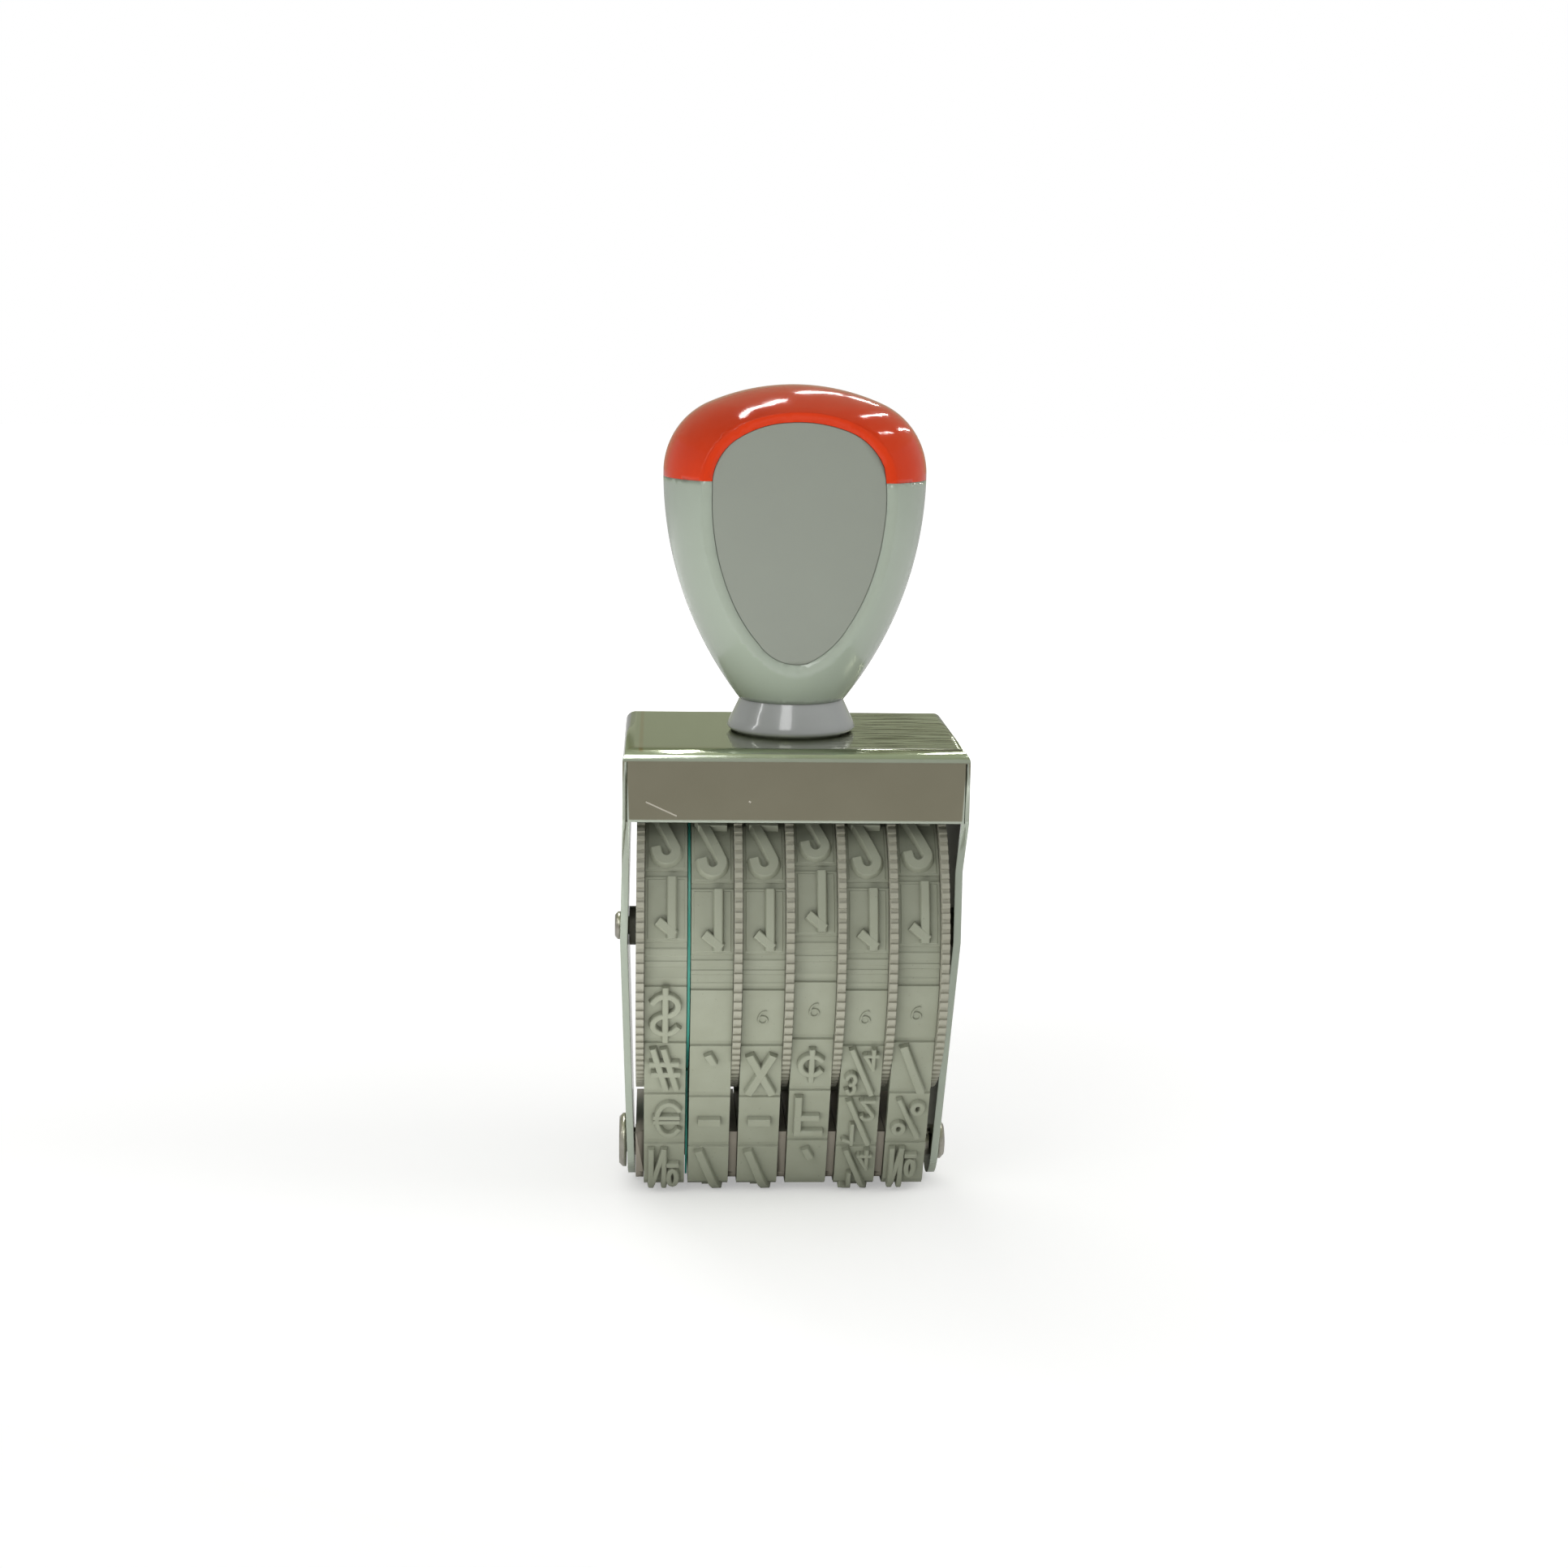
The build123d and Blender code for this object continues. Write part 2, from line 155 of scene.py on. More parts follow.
class Tree:
    """A node tree that is built by calls instead of by hand."""

    def __init__(self, tree: bpy.types.NodeTree) -> None:
        """Takes over an empty tree.

        Args:
            tree: The node tree to fill.
        """
        self.tree = tree
        tree.nodes.clear()

    def node(self, kind: str, settings: dict, inputs: dict, output: "int | str" = 0) -> Wire:
        """Adds a node of any type.

        Args:
            kind: The node's type name.
            settings: Properties that are set before the inputs.
            inputs: Values or wires of the input sockets, by name or by place.
            output: Which output is wanted.

        Returns:
            The wanted output.
        """
        made = self.tree.nodes.new(kind)
        for name, value in settings.items():
            setattr(made, name, value)
        for name, value in inputs.items():
            socket = made.inputs[name]
            if isinstance(value, Wire):
                self.tree.links.new(value.source, socket)
            elif isinstance(value, tuple) and len(value) == 3 and socket.type == "RGBA":
                socket.default_value = (*value, 1.0)
            else:
                socket.default_value = value
        return Wire(self, made.outputs[output] if made.outputs else None)

    def outputs(self, kind: str, inputs: dict) -> dict[str, Wire]:
        """Adds a node and gives all of its outputs by name."""
        made = self.node(kind, {}, inputs).source.node
        return {socket.name: Wire(self, socket) for socket in made.outputs}

    def mix(self, factor: "Wire | float", first: "Wire | Colour", second: "Wire | Colour") -> Wire:
        """Blend of two colours."""
        inputs = {0: factor, 6: first, 7: second}
        return self.node("ShaderNodeMix", {"data_type": "RGBA"}, inputs, 2)

    def place(self, scale: Place = EVEN) -> Wire:
        """Object coordinates in millimetres, stretched by a scale on each axis."""
        inputs = {0: self.node("ShaderNodeTexCoord", {}, {}, "Object"), 1: [s / MM for s in scale]}
        return self.node("ShaderNodeVectorMath", {"operation": "MULTIPLY"}, inputs)

    def noise(self, scale: float, detail: float = 3.0, stretch: Place = EVEN) -> Wire:
        """Noise with a scale in cycles per millimetre."""
        inputs = {"Vector": self.place(stretch), "Scale": scale, "Detail": detail}
        return self.node("ShaderNodeTexNoise", {}, inputs)

    def axes(self, vector: Wire) -> list[Wire]:
        """X, Y and Z of a vector."""
        return list(self.outputs("ShaderNodeSeparateXYZ", {"Vector": vector}).values())

    def facing(self) -> list[Wire]:
        """Surface direction on the object's axes, one wire for each axis."""
        return self.axes(self.node("ShaderNodeTexCoord", {}, {}, "Normal"))

    def crevice(self, reach: float) -> Wire:
        """One in the open, falling to nought in corners narrower than a reach in millimetres."""
        inputs = {"Distance": reach * MM}
        return self.node("ShaderNodeAmbientOcclusion", {"samples": 8}, inputs, "AO")

    def relief(self, height: Wire, depth: float, edge: float) -> Wire:
        """Surface direction from a height pattern.

        Args:
            height: Pattern from nought to one.
            depth: Depth of the pattern in millimetres.
            edge: Radius in millimetres that worn edges are rounded to.

        Returns:
            The normal.
        """
        rounded = self.node("ShaderNodeBevel", {"samples": 4}, {"Radius": edge * MM})
        inputs = {"Strength": 1.0, "Distance": depth * MM, "Height": height, "Normal": rounded}
        return self.node("ShaderNodeBump", {}, inputs)


# ---------------------------------------------------------------- finishes


@dataclass(frozen=True)
class Finish:
    """What every finish has. The slot is the record's, and empty off the stamp."""

    name: str
    slot: str
    colour: Colour

    def shader(self, tree: Tree) -> Wire:
        """Builds the finish's shader.

        Args:
            tree: The tree to build in.

        Returns:
            The shader's output.
        """
        raise NotImplementedError

    def material(self) -> bpy.types.Material:
        """The finish's material, made the first time that it is asked for.

        Returns:
            The material.
        """
        found = bpy.data.materials.get(self.name)
        if found is None:
            found = bpy.data.materials.new(self.name)
            found.use_nodes = True
            tree = Tree(found.node_tree)
            tree.node("ShaderNodeOutputMaterial", {}, {"Surface": self.shader(tree)})
        return found


@dataclass(frozen=True)
class Moulding(Finish):
    """Moulded plastic with slight clouding, dust specks and a fine surface grain.

    A crevice tone is painted into its corners: painted shade, and painted light on the wheels.
    """

    cloud: Colour
    roughness: float
    # This colour marks dust specks and is painted into corners: painted shade, and painted light on
    # the wheels.
    dust_and_painted_crevice_tone: Colour
    coat: float = 0.0
    gloss: float = 0.5
    grain: float = 1.5
    grain_depth: float = 0.004
    crevice_tone_reach: float = 0.6
    speckle: float = 0.1
    edge: float = 0.2

    def shader(self, tree: Tree) -> Wire:
        """Builds the plastic.

        Args:
            tree: The tree to build in.

        Returns:
            The shader's output.
        """
        clouds = tree.noise(0.16, 4.0).rise(0.3, 0.75)
        base = tree.mix(clouds * 0.6, self.colour, self.cloud)
        speck = tree.noise(3.0, 2.0).rise(0.66, 0.74)
        base = tree.mix(speck * self.speckle, base, self.dust_and_painted_crevice_tone)
        # painted shade: the crevice tone is laid where ambient occlusion falls (painted light on
        # the wheels, whose tone is paler)
        corners = tree.crevice(self.crevice_tone_reach).fall(0.25, 0.95)
        return tree.node("ShaderNodeBsdfPrincipled", {}, {
            "Base Color": tree.mix(corners * 0.6, base, self.dust_and_painted_crevice_tone),
            "Roughness": tree.noise(0.5) * 0.12 + (self.roughness - 0.06),
            "Specular IOR Level": self.gloss,
            "Coat Weight": self.coat,
            "Coat Roughness": 0.04,
            "Normal": tree.relief(tree.noise(self.grain), self.grain_depth, self.edge),
        })


@dataclass(frozen=True)
class TypeRubber(Finish):
    """Matt moulded rubber with paler clouds at random, dust specks and painted shade in its
    grooves.
    """

    rubbed: Colour
    # groove colours the dust specks and is painted into the grooves as painted shade
    groove: Colour

    def shader(self, tree: Tree) -> Wire:
        """Builds the rubber.

        Args:
            tree: The tree to build in.

        Returns:
            The shader's output.
        """
        clouds = tree.noise(0.22, 5.0).rise(0.35, 0.7)
        base = tree.mix(clouds * 0.5, self.colour, self.rubbed)
        # painted shade: the groove colour is laid where ambient occlusion falls
        base = tree.mix(tree.crevice(0.8).fall(0.3, 0.9) * 0.4, base, self.groove)
        speck = tree.noise(2.2, 2.0).rise(0.7, 0.76)
        fine = tree.noise(6.0, 4.0) + tree.noise(0.9) * 1.5
        return tree.node("ShaderNodeBsdfPrincipled", {}, {
            "Base Color": tree.mix(speck * 0.35, base, self.groove),
            "Roughness": tree.noise(0.8) * 0.2 + 0.5,
            "Specular IOR Level": 0.35,
            "Normal": tree.relief(fine, 0.012, 0.12),
        })


@dataclass(frozen=True)
class Scratch:
    """A straight scratch on an upright face, from one (X, Z) point to another, in millimetres."""

    start: Point
    end: Point
    width: float = 0.16

    def mask(self, across: Wire, up: Wire) -> Wire:
        """One on the scratch and nought off it.

        Args:
            across: X of the surface.
            up: Z of the surface.

        Returns:
            The mask.
        """
        run = Vector(self.end) - Vector(self.start)
        along = run.normalized()
        far = (across - self.start[0]) * along.x + (up - self.start[1]) * along.y
        off = (across - self.start[0]) * -along.y + (up - self.start[1]) * along.x
        inside = off.near(0.0, self.width * 0.4, self.width) * far.over(0.0)
        return inside * (1.0 - far.over(run.length))


@dataclass(frozen=True)
class PlatedSheet(Finish):
    """Bright plated sheet steel: drawn grain on its top, wiping marks and scratches.

    Lines and ends are millimetres. A painted highlight line and a painted brown reflection
    run along the top's front edge, another painted brown reflection along its left edge.
    The top faces carry a painted darker olive reflection, the front faces below the hem a
    painted highlight, and the right plate's inner faces painted shade.
    """

    brushed: Colour
    scratches: tuple[Scratch, ...]
    roughness: float = 0.1
    # painted reflection: a darker olive tint laid on the top faces
    painted_top_reflection: Colour = (0.26, 0.28, 0.16)
    # inside and grazing colour the dark shader: the brushed dark lines, and the painted shade on
    # the right plate's inner faces
    inside: Colour = (0.12, 0.12, 0.1)
    grazing: Colour = (0.3, 0.31, 0.26)
    # painted reflection: colour of the brown lines along the top's left and front bends
    painted_bend_reflection: Colour = (0.3, 0.2, 0.07)
    # colours the painted highlight line along the top's front edge, and the scratches
    highlight_and_scratch_colour: Colour = (0.9, 0.88, 0.8)
    # painted highlight colour of the front faces below the hem
    low_edge_highlight: Colour = (0.42, 0.48, 0.4)
    hem: float = 65.25
    drawn_start: Point = (4.0, 14.0)
    # where the painted highlight line on the top's front edge lies
    edge_highlight_line: float = -17.75
    edge_highlight_start: Point = (7.0, 9.0)
    edge_highlight_end: Point = (24.4, 24.6)
    # where the painted brown reflections lie
    left_reflection_line: float = -24.2
    front_reflection_line: float = -17.6
    front_reflection_end: Point = (-14.0, -9.0)

    def shader(self, tree: Tree) -> Wire:
        """Builds the plating, bright outside, with painted shade on the right plate's inner faces.

        Args:
            tree: The tree to build in.

        Returns:
            The shader's output.
        """
        across, depth, up = tree.axes(tree.place())
        toward = tree.facing()
        on_top = toward[2].rise(*SQUARE_ON)
        on_front = (0.0 - toward[1]).rise(*SQUARE_ON)
        # painted shade: the inward faces of the right side plate are made dark
        inner = (0.0 - toward[0] * across.over(0.0)).rise(*SQUARE_ON)
        drawn = tree.noise(0.9, 5.0, (0.1, 2.0, 0.1))
        worked = across.rise(*self.drawn_start) * on_top
        streaks = drawn.rise(0.38, 0.62) * worked
        dark_lines = drawn.rise(0.46, 0.58) * worked
        haze = tree.noise(0.12, 4.0).rise(0.3, 0.8)
        base = tree.mix(haze * 0.12, self.colour, self.brushed)
        # painted reflection: the top faces are tinted darker olive
        base = tree.mix(on_top * 0.75, base, self.painted_top_reflection)
        base = tree.mix(streaks, base, self.brushed)
        # painted reflections: brown lines along the top's front and left bends
        front_bend_reflection = depth.near(self.front_reflection_line, 0.1, 0.4)
        front_bend_reflection = front_bend_reflection * across.fall(*self.front_reflection_end)
        bend_reflections = across.near(self.left_reflection_line, 0.15, 0.45) + front_bend_reflection
        base = tree.mix((bend_reflections * on_top).rise(0.0, 1.0) * 0.7, base, self.painted_bend_reflection)
        # painted highlight: a pale, non-metal line along the top's front edge
        painted_edge_highlight = depth.near(self.edge_highlight_line, 0.1, 0.2) * across.rise(*self.edge_highlight_start) * on_top
        marks = painted_edge_highlight * across.fall(*self.edge_highlight_end)
        for scratch in self.scratches:
            marks = marks + scratch.mask(across, up) * on_front
        # the painted edge highlight and the scratches take the pale colour
        base = tree.mix(marks, base, self.highlight_and_scratch_colour)
        # painted highlight: front faces below the hem, the flap's lowest strip and the plates'
        # front edges, are pale and non-metal
        painted_low_edge_highlight = on_front * (self.hem - up).rise(0.0, 0.15) * 0.6
        wiped = tree.noise(1.4, 3.0, (0.15, 1.0, 1.0)) * 0.07
        rough = wiped + (self.roughness - 0.035) + streaks * 0.25 + marks * 0.3
        relief = tree.relief(tree.noise(0.35), 0.012, 0.25)
        bright = tree.node("ShaderNodeBsdfPrincipled", {}, {
            "Base Color": tree.mix(painted_low_edge_highlight, base, self.low_edge_highlight),
            "Metallic": (1.0 - painted_edge_highlight) * (1.0 - painted_low_edge_highlight),
            "Roughness": rough,
            "Normal": relief,
        })
        # dark shader for the brushed dark lines and for the painted shade inside the right plate
        dark_lines_and_painted_shade = tree.node("ShaderNodeBsdfPrincipled", {}, {
            "Base Color": tree.mix(haze * 0.4, self.inside, self.brushed),
            "Metallic": 1.0,
            "Roughness": rough + 0.15,
            "Specular Tint": self.grazing,
            "Normal": relief,
        })
        # mixes in the dark shader on the dark lines, and as painted shade on the right plate's
        # inner faces
        inputs = {0: inner + dark_lines * 0.95, 1: bright, 2: dark_lines_and_painted_shade}
        return tree.node("ShaderNodeMixShader", {}, inputs)


@dataclass(frozen=True)
class TurnedSteel(Finish):
    """Plain steel with fine tool marks."""

    tarnish: Colour = (0.3, 0.28, 0.24)
    roughness: float = 0.3

    def shader(self, tree: Tree) -> Wire:
        """Builds the steel.

        Args:
            tree: The tree to build in.

        Returns:
            The shader's output.
        """
        marks = tree.noise(2.5, 3.0, (4.0, 0.6, 0.6))
        return tree.node("ShaderNodeBsdfPrincipled", {}, {
            "Base Color": tree.mix(tree.noise(0.7).rise(0.3, 0.7) * 0.5, self.colour, self.tarnish),
            "Metallic": 1.0,
            "Roughness": marks * 0.2 + (self.roughness - 0.1),
            "Normal": tree.relief(marks, 0.01, 0.15),
        })


@dataclass(frozen=True)
class PaleFloor(Finish):
    """Floor that shows white to the camera and keeps the object's shadow."""

    clouded: Colour = (0.8, 0.8, 0.79)
    near_glow: float = 0.35
    far_glow: float = 0.3
    near_radius: float = 80.0
    far_radius: float = 400.0

    def shader(self, tree: Tree) -> Wire:
        """Builds the floor, whose glow rises between two distances in millimetres.

        Args:
            tree: The tree to build in.

        Returns:
            The shader's output.
        """
        tone = tree.mix(tree.noise(0.004, 2.0) * 0.3, self.colour, self.clouded)
        matt = tree.node("ShaderNodeBsdfDiffuse", {}, {"Color": tone})
        across, depth, _ = tree.axes(tree.place())
        far = (across * across + depth * depth).rise(self.near_radius**2, self.far_radius**2)
        seen = tree.node("ShaderNodeLightPath", {}, {}, "Is Camera Ray")
        lift = seen * (far * self.far_glow + self.near_glow)
        glow = tree.node("ShaderNodeEmission", {}, {"Color": WHITE, "Strength": lift})
        return tree.node("ShaderNodeAddShader", {}, {0: matt, 1: glow})


@dataclass(frozen=True)
class Card(Finish):
    """Matt card that the glossy pieces mirror, with slightly paler clouds."""

    paler: float = 1.08

    def shader(self, tree: Tree) -> Wire:
        """Builds the card.

        Args:
            tree: The tree to build in.

        Returns:
            The shader's output.
        """
        cloud = tuple(share * self.paler for share in self.colour)
        tone = tree.mix(tree.noise(0.01, 2.0), self.colour, cloud)
        return tree.node("ShaderNodeBsdfDiffuse", {}, {"Color": tone})


class Finishes(Enum):
    """The finishes of this stamp and of what stands round it."""

    # Each moulding's crevice tone is painted shade in its corners; the wheel's is paler, painted
    # light.
    GREY_GRIP = Moulding(
        "grey_grip_moulding", "handle_grey", (0.355, 0.408, 0.336), cloud=(0.345, 0.394, 0.322),
        roughness=0.2, coat=0.25, grain=0.4, grain_depth=0.002, dust_and_painted_crevice_tone=(0.28, 0.31, 0.26),
        crevice_tone_reach=0.35, speckle=0.04,
    )
    RED_CAP = Moulding(
        "red_cap_moulding", "cap_red", (0.67, 0.046, 0.009), cloud=(0.61, 0.038, 0.008),
        roughness=0.1, gloss=0.2, grain=0.35, grain_depth=0.002, dust_and_painted_crevice_tone=(0.3, 0.02, 0.012),
        speckle=0.03,
    )
    BADGE = Moulding(
        "badge_plate", "badge_grey", (0.265, 0.289, 0.244), cloud=(0.256, 0.277, 0.236),
        roughness=0.55, grain=4.0, grain_depth=0.006, dust_and_painted_crevice_tone=(0.18, 0.19, 0.16), crevice_tone_reach=0.2,
        speckle=0.06,
    )
    COLLAR = Moulding(
        "collar_moulding", "collar_plastic", (0.42, 0.432, 0.438), cloud=(0.385, 0.395, 0.4),
        roughness=0.2, coat=0.6, grain=0.4, grain_depth=0.002, dust_and_painted_crevice_tone=(0.25, 0.25, 0.25),
        speckle=0.03,
    )
    # paler crevice tone: painted light in the rib grooves
    WHEEL = Moulding(
        "wheel_moulding", "wheel_beige", (0.3, 0.296, 0.232), cloud=(0.275, 0.272, 0.213),
        roughness=0.5, grain=3.0, grain_depth=0.008, dust_and_painted_crevice_tone=(0.34, 0.33, 0.25), crevice_tone_reach=0.25,
        edge=0.16,
    )
    SHOE = Moulding(
        "shoe_moulding", "shoe_plastic", (0.27, 0.245, 0.2), cloud=(0.23, 0.205, 0.165),
        roughness=0.5, grain=3.0, grain_depth=0.01, dust_and_painted_crevice_tone=(0.1, 0.09, 0.075), edge=0.12,
    )
    SPACER = Moulding(
        "spacer_moulding", "spacer_plastic", (0.3, 0.3, 0.25), cloud=(0.26, 0.26, 0.21),
        roughness=0.45, dust_and_painted_crevice_tone=(0.12, 0.12, 0.1),
    )
    TEAL = Moulding(
        "teal_sheet", "teal_plastic", (0.09, 0.6, 0.47), cloud=(0.08, 0.52, 0.41),
        roughness=0.35, dust_and_painted_crevice_tone=(0.06, 0.4, 0.32), crevice_tone_reach=0.12, edge=0.05,
    )
    # groove: dust specks and painted shade in the grooves
    RUBBER = TypeRubber(
        "type_rubber", "band_rubber", (0.25, 0.264, 0.198), rubbed=(0.295, 0.312, 0.242),
        groove=(0.11, 0.107, 0.08),
    )
    CHROME = PlatedSheet(
        "plated_sheet", "chrome_sheet", (0.56, 0.61, 0.52), brushed=(0.24, 0.25, 0.16),
        scratches=(
            Scratch((-23.4, 68.0), (-18.6, 65.8)),
            Scratch((-7.4, 68.2), (-7.1, 68.0), 0.2),
        ),
    )
    STEEL = TurnedSteel("turned_steel", "steel", (0.55, 0.53, 0.47))
    FLOOR = PaleFloor("pale_floor", "", (0.82, 0.82, 0.81))
    BROWN_CARD = Card("brown_card", "", (0.44, 0.38, 0.32))
    PALE_CARD = Card("pale_card", "", (0.8, 0.82, 0.74))
    OLIVE_CARD = Card("olive_card", "", (0.72, 0.77, 0.56))


# ---------------------------------------------------------------- mesh helpers


def smooth(mesh: bpy.types.Mesh, angle: float = 32.0) -> None:
    """Shades a mesh smooth, with its edges over an angle in degrees kept sharp."""
    mesh.shade_smooth()
    mesh.set_sharp_from_angle(angle=math.radians(angle))


def linked(name: str, data: bpy.types.ID) -> bpy.types.Object:
    """Puts a new object in the scene.

    Args:
        name: Its name.
        data: Its mesh, light or camera.

    Returns:
        The object.
    """
    made = bpy.data.objects.new(name, data)
    bpy.context.scene.collection.objects.link(made)
    return made


def to_object(name: str, mesh: bpy.types.Mesh, finish: Finish, body: str) -> bpy.types.Object:
    """Puts a finished piece in the scene.

    Args:
        name: The piece's name.
        mesh: Its mesh, with its place in it.
        finish: Its finish.
        body: The CAD body that it rides on.

    Returns:
        The piece.
    """
    piece = linked(name, mesh)
    mesh.materials.clear()
    mesh.materials.append(finish.material())
    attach(piece, body)
    LOG.info("%s: %d faces on %s", name, len(mesh.polygons), body)
    return piece


def to_mesh(name: str, shape: bmesh.types.BMesh, angle: float = 32.0) -> bpy.types.Mesh:
    """Makes a mesh of a bmesh, shades it smooth and frees the bmesh.

    Args:
        name: The mesh's name.
        shape: The bmesh.
        angle: Angle in degrees over which edges stay sharp.

    Returns:
        The mesh.
    """
    mesh = bpy.data.meshes.new(name)
    shape.to_mesh(mesh)
    shape.free()
    smooth(mesh, angle)
    return mesh


def modified(mesh: bpy.types.Mesh, kind: str, settings: dict, inputs: dict) -> bpy.types.Mesh:
    """Applies a modifier to a mesh.

    Args:
        mesh: The mesh.
        kind: The modifier's type.
        settings: Its properties.
        inputs: Its inputs by key, if it is a node tree's.

    Returns:
        A new mesh of the same name.
    """
    carrier = linked(mesh.name, mesh)
    modifier = carrier.modifiers.new("applied", kind)
    for name, value in settings.items():
        setattr(modifier, name, value)
    for key, value in inputs.items():
        modifier[key] = value
    bpy.context.view_layer.update()
    graph = bpy.context.evaluated_depsgraph_get()
    made = bpy.data.meshes.new_from_object(carrier.evaluated_get(graph))
    made.name = mesh.name
    bpy.data.objects.remove(carrier)
    return made


def skin(shape: bmesh.types.BMesh, rows: Rows, closed: bool = True) -> None:
    """Covers rows of points, each a closed outline, with faces that are turned outwards.

    Args:
        shape: What the faces are added to.
        rows: The rows.
        closed: Whether the last row meets the first one; else both ends get a face.
    """
    outlines = [] if closed else [rows[0], rows[-1]]
    for here, there in zip(rows, rows[1:] + (rows[:1] if closed else [])):
        for place in range(len(here)):
            outlines.append((here[place - 1], here[place], there[place], there[place - 1]))
    faces = [shape.faces.new(outline) for outline in outlines]
    bmesh.ops.recalc_face_normals(shape, faces=faces)


def ring_of(profile: list[Point], turns: int, centre: Vector) -> bmesh.types.BMesh:
    """Solid of a closed profile turned about an X-parallel axis.

    Args:
        profile: (X, radius) points of the closed outline, in millimetres.
        turns: Number of steps round.
        centre: Point on the axis, in metres.

    Returns:
        The solid.
    """
    shape = bmesh.new()
    rows = []
    for step in range(turns):
        angle = 2 * math.pi * step / turns
        spots = [(x, math.cos(angle) * radius, math.sin(angle) * radius) for x, radius in profile]
        rows.append([shape.verts.new(centre + Vector(spot) * MM) for spot in spots])
    skin(shape, rows)
    return shape


class RibRing:
    """Geometry Nodes tree that sets a ring of ribs round a wheel."""

    def __init__(self) -> None:
        """Builds the tree and its named inputs."""
        self.tree = bpy.data.node_groups.new("rib_ring", "GeometryNodeTree")
        made = Tree(self.tree)
        kinds = {
            "Geometry": "Geometry", "Count": "Int", "Rib size": "Vector", "Rib place": "Vector",
            "Hub": "Vector", "Finish": "Material",
        }
        self.keys: dict[str, str] = {}
        for name, kind in kinds.items():
            socket = self.tree.interface.new_socket(
                name, in_out="INPUT", socket_type=f"NodeSocket{kind}"
            )
            self.keys[name] = socket.identifier
        self.tree.interface.new_socket(
            "Geometry", in_out="OUTPUT", socket_type="NodeSocketGeometry"
        )
        value = made.outputs("NodeGroupInput", {})
        rib = made.node("GeometryNodeMeshCube", {}, {"Size": value["Rib size"]})
        inputs = {"Geometry": rib, "Translation": value["Rib place"]}
        rib = made.node("GeometryNodeTransform", {}, inputs)
        points = made.node("GeometryNodePoints", {}, {"Count": value["Count"]})
        index = made.node("GeometryNodeInputIndex", {}, {})
        turn = made.node("ShaderNodeCombineXYZ", {}, {"X": index * (2 * math.pi) / value["Count"]})
        inputs = {"Points": points, "Instance": rib, "Rotation": turn}
        ring = made.node("GeometryNodeInstanceOnPoints", {}, inputs)
        inputs = {"Geometry": ring, "Translation": value["Hub"]}
        ring = made.node("GeometryNodeTransform", {}, inputs)
        joined = made.node("GeometryNodeJoinGeometry", {}, {"Geometry": value["Geometry"]})
        self.tree.links.new(ring.source, joined.source.node.inputs[0])
        real = made.node("GeometryNodeRealizeInstances", {}, {"Geometry": joined})
        inputs = {"Geometry": real, "Material": value["Finish"]}
        made.node("NodeGroupOutput", {}, {0: made.node("GeometryNodeSetMaterial", {}, inputs)})

    def applied(self, wheel: bpy.types.Mesh, values: dict[str, object]) -> bpy.types.Mesh:
        """Adds the ring of ribs to a wheel.

        Args:
            wheel: The plain wheel.
            values: The tree's inputs by name.

        Returns:
            A plain mesh of both.
        """
        inputs = {self.keys[name]: value for name, value in values.items()}
        mesh = modified(wheel, "NODES", {"node_group": self.tree}, inputs)
        smooth(mesh)
        return mesh


# ---------------------------------------------------------------- sub-assemblies


@dataclass(frozen=True)
class Lane:
    """One band lane along the axle; the first is turned round."""

    number: int
    wheel: Bounds

    @property
    def side(self) -> int:
        """Side of the wheel that its rim is on: one for the right, minus one for the left."""
        return -1 if self.number == 1 else 1

    def across(self, distance: float) -> float:
        """X in millimetres of a distance from the band side of the wheel towards its rim."""
        return self.wheel[0 if self.side > 0 else 1].x / MM + self.side * distance


